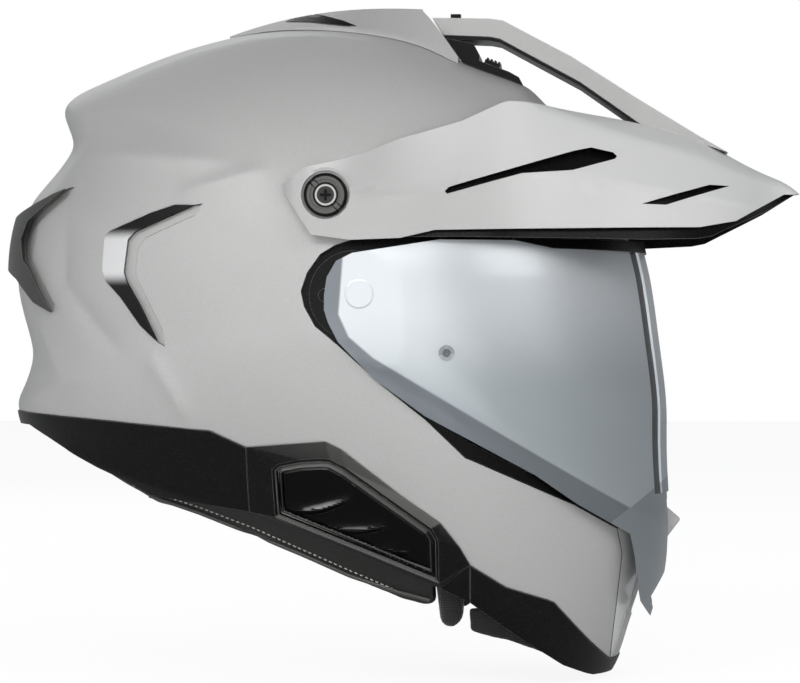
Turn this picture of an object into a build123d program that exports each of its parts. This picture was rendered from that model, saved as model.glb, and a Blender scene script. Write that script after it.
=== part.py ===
from build123d import *
import math
import os

# Dual sport helmet in millimetres: +X to the wearer's front, +Z up, wearer's left at +Y.
# The origin is the centre of the head space. The helmet is level, as worn.

# Driving sizes of the whole helmet
shell_length = 315.0
shell_height = 315.0
shell_half_width = 120.0
peak_reach = 232.0
peak_half_width = 129.0
pivot_x = 20.0
pivot_z = 1.0

# Fits and clearances
seam_gap = 0.3
soft_gap = 0.4
running_gap = 0.06
slide_gap = 0.3
overrun = 40.0
inner_start = 10.0

# Layers, counted from the painted surface
shell_wall = 4.4
trim_proud = 0.8
trim_wall = 2.0
skirt_rise = -1.5
frame_proud = 2.0
cover_rise = 0.2
wave_rise = 2.2
insert_recess = 0.6
port_recess = 4.0
port_wall = 2.2
foam_depth = shell_wall + seam_gap
shield_wall = 1.8
shield_rise = 5.0
shield_side_rise = 2.5
nose_flare = 7.0

# Head space and padding
head_half_length = 105.0
head_half_width = 88.0
head_half_height = 92.0
head_x = -8.0
head_z = 4.0
pad_wall = 9.0
chin_foam_wall = 14.0
cheek_half_space = 64.0
neck_roll_depth = 7.0
neck_roll_wall = 15.0

# How full the shell's sections are, and how far out its rear lips fade
width_power_share = 2.3
reach_power_share = 2.2
fade_share = 0.6
fade_power_share = 1.5
station_shares = [0, 0.15, 0.3, 0.45, 0.6, 0.72, 0.83, 0.91, 0.965, 0.992]

# Side outline of the shell on its centre plane, from the chin round under the neck and over the crown
centre_outline_shares = [
    (0.514, -0.190), (0.517, -0.302), (0.510, -0.387), (0.487, -0.471), (0.473, -0.511), (0.448, -0.578),
    (0.387, -0.635), (0.286, -0.651), (0.175, -0.603), (0.048, -0.546), (-0.111, -0.483), (-0.254, -0.416),
    (-0.365, -0.349), (-0.444, -0.270), (-0.486, -0.203), (-0.495, -0.162), (-0.486, -0.140),
    (-0.468, -0.095), (-0.471, -0.063), (-0.483, -0.025), (-0.495, 0.038), (-0.479, 0.140), (-0.444, 0.187),
    (-0.413, 0.225), (-0.406, 0.251), (-0.422, 0.302), (-0.362, 0.344), (-0.279, 0.378), (-0.143, 0.417),
    (0.016, 0.427), (0.143, 0.405), (0.206, 0.376), (0.270, 0.352), (0.314, 0.335), (0.343, 0.308),
    (0.410, 0.238), (0.454, 0.159), (0.473, 0.095), (0.489, 0.016), (0.503, -0.079)]
# The same points where the rear lips and the spoiler corner have faded, well out to the side
side_outline_shares = [
    (0.514, -0.190), (0.517, -0.302), (0.510, -0.387), (0.487, -0.471), (0.473, -0.511), (0.448, -0.578),
    (0.387, -0.635), (0.286, -0.651), (0.175, -0.603), (0.048, -0.546), (-0.111, -0.483), (-0.254, -0.416),
    (-0.365, -0.349), (-0.438, -0.270), (-0.467, -0.203), (-0.473, -0.162), (-0.476, -0.140),
    (-0.479, -0.095), (-0.482, -0.063), (-0.486, -0.025), (-0.486, 0.038), (-0.463, 0.140), (-0.438, 0.187),
    (-0.416, 0.225), (-0.400, 0.251), (-0.368, 0.295), (-0.327, 0.333), (-0.267, 0.368), (-0.143, 0.411),
    (0.016, 0.427), (0.143, 0.408), (0.206, 0.384), (0.270, 0.356), (0.314, 0.330), (0.343, 0.308),
    (0.410, 0.238), (0.454, 0.159), (0.473, 0.095), (0.489, 0.016), (0.503, -0.079)]
# How much of the nose flare the shield takes at each point of that outline
flare_shares = [0, 0.15, 0.7, 1, 1, 1] + [0] * 34

# Seams in side view
paint_edge_shares = [
    (-0.600, -0.168), (-0.449, -0.177), (-0.331, -0.185), (-0.250, -0.192), (-0.156, -0.200),
    (-0.101, -0.225), (0.019, -0.216), (0.042, -0.227), (0.131, -0.296), (0.191, -0.338), (0.220, -0.376),
    (0.235, -0.402), (0.288, -0.436), (0.351, -0.457), (0.360, -0.461), (0.414, -0.525), (0.444, -0.558)]
chin_panel_shares = [(0.449, -0.512), (0.455, -0.464), (0.463, -0.390), (0.455, -0.351)]
port_edge_shares = [
    (0.392, -0.313), (0.239, -0.244), (0.229, -0.240), (0.171, -0.183), (0.106, -0.131), (0.040, -0.071),
    (0.006, -0.043), (-0.010, -0.014), (-0.015, 0.009), (-0.006, 0.036), (0.014, 0.064), (0.037, 0.078),
    (0.061, 0.086), (0.120, 0.092)]
rear_bottom_shares = [
    (-0.100, -0.324), (-0.257, -0.300), (-0.304, -0.273), (-0.337, -0.258), (-0.390, -0.230),
    (-0.432, -0.211), (-0.462, -0.196), (-0.600, -0.192)]
frame_bottom_shares = [(0.234, -0.461), (0.189, -0.438), (-0.062, -0.336), (-0.100, -0.324)]
chin_bottom_shares = [
    (0.600, -0.582), (0.418, -0.582), (0.409, -0.579), (0.372, -0.562), (0.350, -0.546), (0.314, -0.521),
    (0.234, -0.461)]
eye_edge_shares = [
    (0.600, 0.085), (0.190, 0.085), (0.165, 0.070), (0.155, 0.020), (0.155, -0.080), (0.180, -0.150),
    (0.232, -0.215), (0.320, -0.262), (0.410, -0.293), (0.600, -0.318)]
above_shares = [(0.600, 0.092), (0.600, 0.520), (-0.600, 0.520)]


def at(shares):
    """Side-view points in millimetres from shares of the shell's length and height."""
    return [(x * shell_length, z * shell_height) for x, z in shares]


def spacing(points):
    """Curve parameters that grow with the root of each chord, so that close points don't kink."""
    steps = [0.0]
    for start, stop in zip(points, points[1:] + points[:1]):
        steps.append(steps[-1] + math.sqrt(math.dist(start, stop)))
    return [step / steps[-1] for step in steps]


def form(rise, side_rise, flare=0):
    """The helmet's rounded form, pushed out by rise in side view and by side_rise across."""
    parameters = spacing(at(centre_outline_shares))
    half_width = shell_half_width + side_rise
    with BuildPart() as body:
        for share in [-share for share in reversed(station_shares[1:])] + station_shares:
            reach = (1 - abs(share) ** width_power_share) ** (1 / reach_power_share)
            fade = min(1, abs(share) / fade_share) ** fade_power_share
            points = []
            for near, far, extra in zip(at(centre_outline_shares), at(side_outline_shares), flare_shares):
                x = (1 - fade) * near[0] + fade * far[0] - pivot_x
                z = (1 - fade) * near[1] + fade * far[1] - pivot_z
                stretch = reach * (1 + (rise + flare * extra) / math.hypot(x, z))
                points.append((pivot_x + x * stretch, pivot_z + z * stretch))
            with BuildSketch(Plane.XZ.offset(-share * half_width)):
                with BuildLine():
                    add(Edge.make_spline([Vector(*point) for point in points], periodic=True,
                                         parameters=parameters))
                make_face()
        loft()
    return body.part


def prism(points, gap=0, reach=peak_half_width + overrun, hand=0, start=inner_start):
    """A side-view outline, grown by gap, drawn out across the helmet or from start outwards on one side."""
    with BuildPart() as body:
        with BuildSketch(Plane.XZ.offset(-hand * start)):
            with BuildLine():
                Polyline(*points, close=True)
            make_face()
            if gap:
                offset(amount=gap, kind=Kind.INTERSECTION)
        extrude(amount=-hand * (reach - start) if hand else reach, both=not hand)
    return body.part


def layer(outer, inner, points, hand=0, gap=-seam_gap / 2, start=inner_start):
    """The stretch of the layer between two forms that lies inside a side-view outline."""
    with BuildPart() as body:
        add(outer)
        add(prism(points, gap=gap, hand=hand, start=start), mode=Mode.INTERSECT)
        add(inner, mode=Mode.SUBTRACT)
    return body.part


def save(part, label):
    part.label = label
    export_step(part, f"parts/{label}.step")


def save_pair(right, label):
    """Writes a piece of the wearer's right side and its mirror image on the left."""
    save(right, f"{label}_right")
    with BuildPart() as left:
        mirror(right, about=Plane.XZ)
    save(left.part, f"{label}_left")


os.makedirs("parts", exist_ok=True)
hands = (-1, 1)

surface = form(0, 0)
shell_inside = form(-shell_wall, -shell_wall)
foam_outside = form(-foam_depth, -foam_depth)
trim_outside = form(trim_proud, trim_proud)
trim_inside = form(trim_proud - trim_wall, trim_proud - trim_wall)
skirt_outside = form(skirt_rise, skirt_rise)
frame_outside = form(frame_proud, frame_proud)

# Outer shell: a painted moulding, with a stepped skirt that the lower trims are fixed over
paint_outline = at(paint_edge_shares + chin_panel_shares + port_edge_shares + above_shares)
skirt_top_share = 0.020
skirt_hem_share = 0.006
skirt_edge = [(x, z + skirt_top_share * shell_height) for x, z in at(paint_edge_shares)]
hem_shares = chin_bottom_shares[:-1] + frame_bottom_shares[:-1] + rear_bottom_shares
skirt_hem = [(x, z + skirt_hem_share * shell_height) for x, z in at(hem_shares)]
skirt_front_share = 0.430
skirt_outline = [point for point in skirt_edge + skirt_hem if point[0] < skirt_front_share * shell_length]

# Side vents: a satin blade in front of a scooped insert, two on each side
front_blade_shares = [
    (-0.180, 0.139), (-0.210, 0.140), (-0.249, 0.128), (-0.281, 0.115), (-0.313, 0.102), (-0.322, 0.094),
    (-0.325, 0.043), (-0.319, 0.026), (-0.295, 0.001), (-0.263, -0.042), (-0.235, -0.067),
    (-0.263, -0.011), (-0.284, 0.024), (-0.289, 0.039), (-0.283, 0.088), (-0.272, 0.100)]
front_scoop_shares = [
    (-0.166, 0.141), (-0.180, 0.139), (-0.272, 0.100), (-0.283, 0.088), (-0.289, 0.039), (-0.284, 0.024),
    (-0.263, -0.011), (-0.235, -0.067), (-0.224, -0.073), (-0.227, -0.049), (-0.239, -0.026),
    (-0.270, 0.034), (-0.267, 0.072), (-0.256, 0.090), (-0.178, 0.124)]
rear_blade_shares = [
    (-0.392, 0.171), (-0.416, 0.163), (-0.475, 0.138), (-0.530, 0.114), (-0.530, 0.062), (-0.481, 0.031),
    (-0.446, -0.006), (-0.413, -0.022), (-0.455, 0.050), (-0.466, 0.060), (-0.472, 0.094),
    (-0.461, 0.121)]
rear_scoop_shares = [
    (-0.381, 0.172), (-0.392, 0.171), (-0.461, 0.121), (-0.472, 0.094), (-0.466, 0.060), (-0.455, 0.050),
    (-0.413, -0.022), (-0.408, -0.010), (-0.416, 0.001), (-0.452, 0.062),
    (-0.451, 0.084), (-0.443, 0.118), (-0.397, 0.150)]
blade_proud = 1.2
blade_rear_proud = 5.0
blade_wall = 3.6
scoop_recess = 1.6
rear_blade_spread = 20.0

# Peak fixings and small openings in the shell
knob_x = 7.0
knob_z = 48.0
knob_radius = 10.3
knob_seat_y = 118.4
knob_thickness = 3.2
screw_radius = 3.0
lever_x = -12.0
lever_z = -56.0
lever_travel = 18.0
lever_length = 9.0
lever_height = 4.0

with BuildPart() as outer_shell:
    add(layer(surface, shell_inside, paint_outline))
    add(layer(skirt_outside, shell_inside, skirt_outline))
    for shares in (front_blade_shares, front_scoop_shares, rear_scoop_shares):
        add(prism(at(shares), gap=seam_gap / 4), mode=Mode.SUBTRACT)
    for hand in hands:
        with BuildSketch(Plane.XZ):
            with Locations((knob_x, knob_z)):
                Circle(screw_radius + running_gap)
        extrude(amount=-hand * (shell_half_width + overrun), mode=Mode.SUBTRACT)
    with BuildSketch(Plane.XZ):
        with Locations((lever_x + lever_travel / 2, lever_z)):
            Rectangle(lever_travel + lever_length + 2 * slide_gap, lever_height + 2 * slide_gap)
    extrude(amount=-shell_half_width - overrun, mode=Mode.SUBTRACT)
save(outer_shell.part, "outer_shell")

blade_outside = form(blade_proud, blade_proud)
blade_inside = form(blade_proud - blade_wall, blade_proud - blade_wall)
rear_blade_outside = form(blade_rear_proud, blade_proud)
scoop_outside = form(-scoop_recess, -scoop_recess)
with BuildPart() as front_blade:
    add(layer(blade_outside, blade_inside, at(front_blade_shares), -1))
save_pair(front_blade.part, "front_vent_blade")
with BuildPart() as front_scoop:
    add(layer(scoop_outside, shell_inside, at(front_scoop_shares), -1))
save_pair(front_scoop.part, "front_vent_scoop")
with BuildPart() as rear_blade:
    add(layer(rear_blade_outside, surface, at(rear_blade_shares), -1, start=rear_blade_spread))
save_pair(rear_blade.part, "rear_vent_blade")
with BuildPart() as rear_scoop:
    add(layer(scoop_outside, shell_inside, at(rear_scoop_shares), -1))
save_pair(rear_scoop.part, "rear_vent_scoop")

# Lower trims over the skirt: rear moulding, a bezel with its cover on each side, and the chin moulding
rear_trim_outline = at(paint_edge_shares[:6] + rear_bottom_shares)
with BuildPart() as rear_trim:
    add(layer(trim_outside, trim_inside, rear_trim_outline))
save(rear_trim.part, "rear_lower_trim")

bezel_outline = at(paint_edge_shares[5:12] + frame_bottom_shares)
window_shares = [
    (-0.056, -0.328), (-0.058, -0.259), (-0.050, -0.253), (-0.019, -0.247), (0.011, -0.245),
    (0.026, -0.246), (0.049, -0.258), (0.175, -0.348), (0.184, -0.364), (0.184, -0.424)]
wave_shares = [
    [(-0.036, -0.311), (0.000, -0.316), (0.104, -0.297), (0.062, -0.318), (0.010, -0.328)],
    [(0.018, -0.336), (0.086, -0.347), (0.146, -0.337), (0.096, -0.358), (0.050, -0.357)],
    [(0.096, -0.371), (0.140, -0.380), (0.172, -0.380), (0.150, -0.392), (0.110, -0.386)]]
cover_outside = form(cover_rise, cover_rise)
wave_outside = form(wave_rise, wave_rise)
with BuildPart() as bezel:
    add(layer(frame_outside, trim_inside, bezel_outline, -1))
    add(prism(at(window_shares), hand=-1), mode=Mode.SUBTRACT)
save_pair(bezel.part, "side_bezel")
with BuildPart() as cover:
    add(layer(cover_outside, trim_inside, at(window_shares), -1, gap=-seam_gap))
    for shares in wave_shares:
        add(layer(wave_outside, trim_inside, at(shares), -1))
save_pair(cover.part, "side_cover")

chin_trim_outline = at(paint_edge_shares[11:] + [(0.600, -0.562)] + chin_bottom_shares)
with BuildPart() as chin_trim:
    add(layer(trim_outside, trim_inside, chin_trim_outline))
save(chin_trim.part, "chin_trim")

# Chin front: two recessed side inserts and a centre piece with the beak and the mouth vent
chin_front_shares = [(0.444, -0.558)] + chin_panel_shares + [(0.600, -0.334), (0.600, -0.562)]
beak_shares = [(0.508, -0.316), (0.520, -0.316), (0.554, -0.346), (0.530, -0.378), (0.508, -0.397)]
centre_half_width = 30.0
beak_half_width = 11.0
vent_half_width = 20.0
vent_low = -156.0
vent_high = -129.0
vent_bar = 2.2
vent_bar_count = 4
insert_outside = form(-insert_recess, -insert_recess)
with BuildPart() as chin_centre:
    add(layer(surface, shell_inside, at(chin_front_shares)))
    with BuildSketch(Plane.YZ):
        Rectangle(2 * (centre_half_width - seam_gap), 2 * shell_height)
    extrude(amount=shell_length, mode=Mode.INTERSECT)
    add(prism(at(beak_shares), reach=beak_half_width))
    with BuildSketch(Plane.YZ):
        with Locations((0, (vent_low + vent_high) / 2)):
            RectangleRounded(2 * vent_half_width, vent_high - vent_low, 3 * vent_bar)
    extrude(amount=shell_length, mode=Mode.SUBTRACT)
save(chin_centre.part, "chin_centre")
with BuildPart() as chin_insert:
    add(layer(insert_outside, shell_inside, at(chin_front_shares), -1, start=centre_half_width))
save_pair(chin_insert.part, "chin_insert")

grille_wall = 2.0
grille_depth = 1.6
shutter_wall = 1.4
shutter_travel = 7.0
grille_outside = form(-grille_depth, -grille_depth)
grille_inside = form(-grille_depth - grille_wall, -grille_depth - grille_wall)
vent_box = [(0, vent_low), (shell_length, vent_low), (shell_length, vent_high), (0, vent_high)]
with BuildPart() as chin_grille:
    add(layer(grille_outside, grille_inside, vent_box))
    with BuildSketch(Plane.YZ):
        with Locations((0, (vent_low + vent_high) / 2)):
            RectangleRounded(2 * vent_half_width, vent_high - vent_low, 3 * vent_bar)
        offset(amount=-seam_gap)
    extrude(amount=shell_length, mode=Mode.INTERSECT)
    slot_pitch = (vent_high - vent_low - vent_bar) / vent_bar_count
    for row in range(vent_bar_count):
        low = vent_low + vent_bar + row * slot_pitch
        with BuildSketch(Plane.YZ):
            for side in (-1, 1):
                with Locations((side * vent_half_width / 2, low + (slot_pitch - vent_bar) / 2)):
                    SlotOverall(vent_half_width - 2 * vent_bar, slot_pitch - vent_bar)
        extrude(amount=shell_length, mode=Mode.SUBTRACT)
save(chin_grille.part, "chin_vent_grille")

# Mouth vent shutter: a flat plate that slides down behind the grille
shutter_x = 146.6
shutter_z = -143.5
shutter_tilt = 15.0
shutter_width = 42.0
shutter_height = 22.0
shutter_grip = 4.0
shutter_plane = Plane(origin=(shutter_x, 0, shutter_z), x_dir=(0, 1, 0),
                      z_dir=(math.cos(math.radians(shutter_tilt)), 0, -math.sin(math.radians(shutter_tilt))))
with BuildPart() as chin_shutter:
    with BuildSketch(shutter_plane):
        RectangleRounded(shutter_width, shutter_height, shutter_grip / 2)
    extrude(amount=shutter_wall)
    with BuildSketch(shutter_plane):
        SlotOverall(4 * shutter_grip, shutter_grip)
    extrude(amount=-shutter_grip / 2)
save(chin_shutter.part, "chin_vent_shutter")

# Eyeport frame: a recessed black moulding round the eye opening
port_outline = at(port_edge_shares + [(0.600, 0.092), (0.600, -0.334), (0.455, -0.351)])
port_outside = form(-port_recess, -port_recess)
port_inside = form(-port_recess - port_wall, -port_recess - port_wall)
base_seat_y = 116.3
base_thickness = 1.9
base_radius = 21.0
base_screw_reach = 13.5
base_screw_radius = 1.6
base_head_radius = 3.1
base_head_height = 1.1
base_screw_end_y = 113.9
pivot_radius = 6.0
pivot_top_y = 120.0
collar_wall = 3.0
collar_start_y = 118.5
collar_end_y = 121.2
base_screws = [(pivot_x - base_screw_reach, pivot_z), (pivot_x + base_screw_reach, pivot_z)]


def disc(points, radius, start_y, end_y, hand):
    """Round pegs across the helmet at side-view points, from start_y to end_y on one side."""
    with BuildPart() as body:
        with BuildSketch(Plane.XZ.offset(-hand * start_y)):
            with Locations(*points):
                Circle(radius)
        extrude(amount=-hand * (end_y - start_y))
    return body.part


with BuildPart() as eyeport_frame:
    add(layer(port_outside, port_inside, port_outline))
    add(prism(at(eye_edge_shares)), mode=Mode.SUBTRACT)
    for hand in hands:
        add(disc(base_screws, base_screw_radius + running_gap, 0, shell_half_width, hand), mode=Mode.SUBTRACT)
save(eyeport_frame.part, "eyeport_frame")

base_top_y = base_seat_y + base_thickness
base_head_y = base_top_y - base_head_height
with BuildPart() as shield_base:
    add(disc([(pivot_x, pivot_z)], base_radius, base_seat_y, base_top_y, -1))
    add(disc([(pivot_x, pivot_z)], pivot_radius, base_seat_y, pivot_top_y, -1))
    add(disc(base_screws, base_screw_radius + running_gap, 0, shell_half_width, -1), mode=Mode.SUBTRACT)
    add(disc(base_screws, base_head_radius + running_gap, base_head_y, base_top_y, -1), mode=Mode.SUBTRACT)
save_pair(shield_base.part, "shield_base")
with BuildPart() as base_screw_set:
    for hand in hands:
        add(disc(base_screws, base_screw_radius, base_screw_end_y, base_top_y, hand))
        add(disc(base_screws, base_head_radius, base_head_y, base_top_y, hand))
save(base_screw_set.part, "shield_base_screws")

# Face shield: curved sheet with pivot collars, a raised centre pane and two nose lobes
shield_shares = [
    (0.600, 0.086), (0.190, 0.086), (0.127, 0.076), (0.062, 0.066), (0.038, 0.054), (0.024, 0.030),
    (0.020, 0.003), (0.020, -0.019), (0.026, -0.038), (0.041, -0.067), (0.096, -0.123), (0.170, -0.177),
    (0.231, -0.210), (0.333, -0.266), (0.396, -0.311), (0.460, -0.350), (0.475, -0.359), (0.482, -0.394),
    (0.487, -0.442), (0.491, -0.466), (0.507, -0.494), (0.511, -0.481), (0.507, -0.462), (0.511, -0.456),
    (0.523, -0.437), (0.530, -0.426), (0.537, -0.406), (0.600, -0.390)]
pane_shares = [(0.300, 0.080), (0.600, 0.080), (0.600, -0.300), (0.300, -0.300)]
band_shares = [(0.300, 0.086), (0.360, 0.074), (0.600, 0.070), (0.600, 0.089), (0.300, 0.089)]
lens_shares = [(0.600, 0.070), (0.205, 0.070), (0.175, 0.040), (0.175, -0.090), (0.215, -0.165),
               (0.300, -0.215), (0.400, -0.255), (0.600, -0.280)]
pane_half_width = 34.0
pane_rise = 1.2
band_rise = 1.0
notch_half_width = 13.5
notch_top = -98.5
lens_gap = 0.1
lens_wall = 0.6
shield_outside = form(shield_rise, shield_side_rise, nose_flare)
shield_inside = form(shield_rise - shield_wall, shield_side_rise - shield_wall, nose_flare)
pane_outside = form(shield_rise + pane_rise, shield_side_rise + pane_rise, nose_flare)
band_outside = form(shield_rise + pane_rise + band_rise, shield_side_rise + pane_rise + band_rise, nose_flare)
lens_outside = form(shield_rise - shield_wall - lens_gap,
                    shield_side_rise - shield_wall - lens_gap, nose_flare)
lens_inside = form(shield_rise - shield_wall - lens_gap - lens_wall,
                   shield_side_rise - shield_wall - lens_gap - lens_wall, nose_flare)

pin_x = 63.4
pin_z = -26.0
pin_y = 118.2
pin_lean = (0.198, 0.972, -0.124)
pin_radius = 1.9
pin_head_radius = 3.7
pin_head_height = 0.9
pin_seat = 1.1
pin_tail = 5.0


def pin_plane(hand):
    """The plane of a lens pin on the shield's outer face, square to the sheet."""
    return Plane(origin=(pin_x, hand * pin_y, pin_z), z_dir=(pin_lean[0], hand * pin_lean[1], pin_lean[2]))


with BuildPart() as pane:
    add(layer(pane_outside, shield_inside, at(pane_shares), gap=0))
    with BuildSketch(Plane.YZ):
        Rectangle(2 * pane_half_width, 2 * shell_height)
    extrude(amount=shell_length, mode=Mode.INTERSECT)
with BuildPart() as shield:
    add(layer(shield_outside, shield_inside, at(shield_shares), gap=0))
    add(pane.part)
    with BuildSketch(Plane.YZ):
        with Locations((0, notch_top - shell_height / 2)):
            Rectangle(2 * notch_half_width, shell_height)
    extrude(amount=shell_length, mode=Mode.SUBTRACT)
    for hand in hands:
        add(disc([(pivot_x, pivot_z)], pivot_radius + collar_wall, collar_start_y, collar_end_y, hand))
        add(disc([(pivot_x, pivot_z)], pivot_radius + running_gap, collar_start_y,
                 pivot_top_y + slide_gap, hand), mode=Mode.SUBTRACT)
        with BuildSketch(pin_plane(hand)):
            Circle(pin_radius + running_gap)
        extrude(amount=pin_tail, both=True, mode=Mode.SUBTRACT)
save(shield.part, "shield")

with BuildPart() as shield_band:
    add(layer(band_outside, shield_outside, at(band_shares), gap=0))
    add(shield.part, mode=Mode.SUBTRACT)
save(shield_band.part, "shield_top_band")

with BuildPart() as fog_lens:
    add(layer(lens_outside, lens_inside, at(lens_shares), gap=0))
    for hand in hands:
        with BuildSketch(pin_plane(hand)):
            Circle(pin_radius + running_gap)
        extrude(amount=pin_tail, both=True, mode=Mode.SUBTRACT)
save(fog_lens.part, "fog_lens")

with BuildPart() as lens_pins:
    for hand in hands:
        with BuildSketch(pin_plane(hand).offset(-pin_tail)):
            Circle(pin_radius)
        extrude(amount=pin_tail + pin_seat)
        with BuildSketch(pin_plane(hand).offset(pin_seat)):
            Circle(pin_head_radius)
        extrude(amount=pin_head_height)
save(lens_pins.part, "lens_pins")

# Sun visor: a tinted curved sheet whose two arms turn on pins beside the shield's pivots
visor_station_shares = [(0.067, 0.825), (0.250, 0.823), (0.417, 0.817), (0.575, 0.794), (0.725, 0.707),
                        (0.875, 0.521), (0.960, 0.292), (0.992, 0)]
visor_reach = 120.0
visor_wall = 2.0
visor_gap = 1.2
visor_shell_gap = 9.0
visor_low_angle = 24.0
visor_high_angle = 70.0
visor_travel_angle = 40.0
visor_spare_angle = 4.0
visor_hub_radius = 10.0
visor_arm_y = 98.9
visor_pin_radius = 3.0
visor_pin_start_y = 94.0
visor_pin_end_y = 111.0


def polar(reach, angle):
    """A side-view point at a share of the visor's reach and an angle in degrees about the pivot."""
    turn = math.radians(angle)
    return (pivot_x + visor_reach * reach * math.cos(turn), pivot_z + visor_reach * reach * math.sin(turn))


def sweep_sheet(outer_gap, inner_gap, low_angle, high_angle):
    """The visor's curved sheet, grown by the two gaps and turned from one angle to another."""
    turn = math.radians(low_angle)
    plane = Plane(origin=(pivot_x, 0, pivot_z), x_dir=(math.cos(turn), 0, math.sin(turn)),
                  z_dir=(-math.sin(turn), 0, math.cos(turn)))
    rows = []
    for gap in (-outer_gap, inner_gap):
        row = []
        for reach, side in visor_station_shares:
            slope = side / visor_station_shares[0][1]
            row.append((visor_reach * reach - gap * (1 - slope ** 2), visor_reach * side - gap * slope))
        rows.append(row + [(x, -y) for x, y in reversed(row[:-1])])
    with BuildPart() as body:
        with BuildSketch(plane):
            with BuildLine():
                outer = Spline(*rows[0])
                inner = Spline(*rows[1])
                Line(outer @ 0, inner @ 0)
                Line(outer @ 1, inner @ 1)
            make_face()
        revolve(axis=Axis((pivot_x, 0, pivot_z), (0, -1, 0)), revolution_arc=high_angle - low_angle)
    return body.part


# The visor's lens and arms in side view, as shares of its reach and angles about the pivot
visor_outline_polar = [(0.05, visor_low_angle - 90), (0.5, visor_low_angle), (2, visor_low_angle),
                       (2, visor_high_angle), (0.72, visor_high_angle), (0.45, 45), (0.06, 110)]
lens_outline = [polar(reach, angle) for reach, angle in visor_outline_polar]
pivot_point = [(pivot_x, pivot_z)]
with BuildPart() as sun_visor:
    add(sweep_sheet(0, visor_wall, visor_low_angle, visor_high_angle))
    add(prism(lens_outline), mode=Mode.INTERSECT)
    for hand in hands:
        add(disc(pivot_point, visor_hub_radius, visor_arm_y - visor_wall, visor_arm_y, hand))
        add(disc(pivot_point, visor_pin_radius + running_gap, visor_pin_start_y, visor_pin_end_y, hand),
            mode=Mode.SUBTRACT)
save(sun_visor.part, "sun_visor")
with BuildPart() as visor_pins:
    for hand in hands:
        add(disc(pivot_point, visor_pin_radius, visor_pin_start_y, visor_pin_end_y, hand))
save(visor_pins.part, "sun_visor_pins")

# Visor lever: a small slider below the left pivot, in the shell's slot
lever_seat_y = 110.0
lever_cap_y = 115.9
lever_end_y = 118.4
lever_cap_length = 13.0
lever_cap_height = 7.0
with BuildPart() as lever:
    for length, height, start_y, end_y in ((lever_length, lever_height, lever_seat_y, lever_end_y),
                                           (lever_cap_length, lever_cap_height, lever_cap_y, lever_end_y)):
        with BuildSketch(Plane.XZ.offset(-start_y)):
            with Locations((lever_x, lever_z)):
                RectangleRounded(length, height, height / 3)
        extrude(amount=-(end_y - start_y))
save(lever.part, "sun_visor_lever")

# Impact foam: the main liner, open at the face, with the space that the sun visor swings through
foam_shares = [
    (-0.600, 0.520), (0.600, 0.520), (0.600, 0.094), (0.150, 0.094), (0.150, -0.080), (-0.118, -0.080),
    (-0.118, -0.2865), (-0.250, -0.275), (-0.330, -0.235), (-0.440, -0.175), (-0.600, -0.165)]
frame_clearance = 1.0
visor_hub_gap = 1.5
frame_space_inside = form(-port_recess - port_wall - seam_gap, -port_recess - port_wall - seam_gap)
frame_space = layer(surface, frame_space_inside, port_outline, gap=frame_clearance)


def head_space(gap):
    """The space for the head, shrunk by gap: a rounded top over a straight neck."""
    with BuildPart() as dome:
        Sphere(1)
        scale(by=(head_half_length - gap, head_half_width - gap, head_half_height - gap))
    with BuildPart() as body:
        with Locations((head_x, 0, head_z)):
            add(dome.part)
        with BuildSketch(Plane.XY.offset(head_z)):
            with Locations((head_x, 0)):
                Ellipse(head_half_length - gap, head_half_width - gap)
        extrude(amount=-shell_height)
    return body.part


head_room = head_space(0)
with BuildPart() as foam:
    add(foam_outside)
    add(prism(at(foam_shares)), mode=Mode.INTERSECT)
    add(head_room, mode=Mode.SUBTRACT)
    add(frame_space, mode=Mode.SUBTRACT)
    add(sweep_sheet(visor_shell_gap, visor_wall + visor_gap,
                    visor_low_angle - visor_travel_angle - visor_spare_angle,
                    visor_high_angle + visor_spare_angle), mode=Mode.SUBTRACT)
    for hand in hands:
        add(disc(pivot_point, visor_hub_radius + visor_hub_gap, visor_arm_y - visor_wall - visor_hub_gap,
                 visor_arm_y + visor_hub_gap, hand), mode=Mode.SUBTRACT)
        add(disc(pivot_point, visor_pin_radius + running_gap, visor_pin_start_y, visor_pin_end_y, hand),
            mode=Mode.SUBTRACT)
    with BuildSketch(Plane.XZ.offset(-lever_seat_y + lever_height / 2)):
        with Locations((lever_x + lever_travel / 2, lever_z)):
            Rectangle(lever_travel + lever_cap_length, lever_cap_height)
    extrude(amount=-overrun, mode=Mode.SUBTRACT)
save(foam.part.solids().sort_by(SortBy.VOLUME)[-1], "foam_liner")

crown_pad_shares = [(-0.600, 0.520), (0.600, 0.520), (0.600, 0.120), (0.130, 0.120), (0.130, -0.070),
                    (-0.600, -0.070)]
with BuildPart() as crown_pad:
    add(head_space(soft_gap))
    add(prism(at(crown_pad_shares)), mode=Mode.INTERSECT)
    add(head_space(soft_gap + pad_wall), mode=Mode.SUBTRACT)
save(crown_pad.part, "crown_pad")

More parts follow.
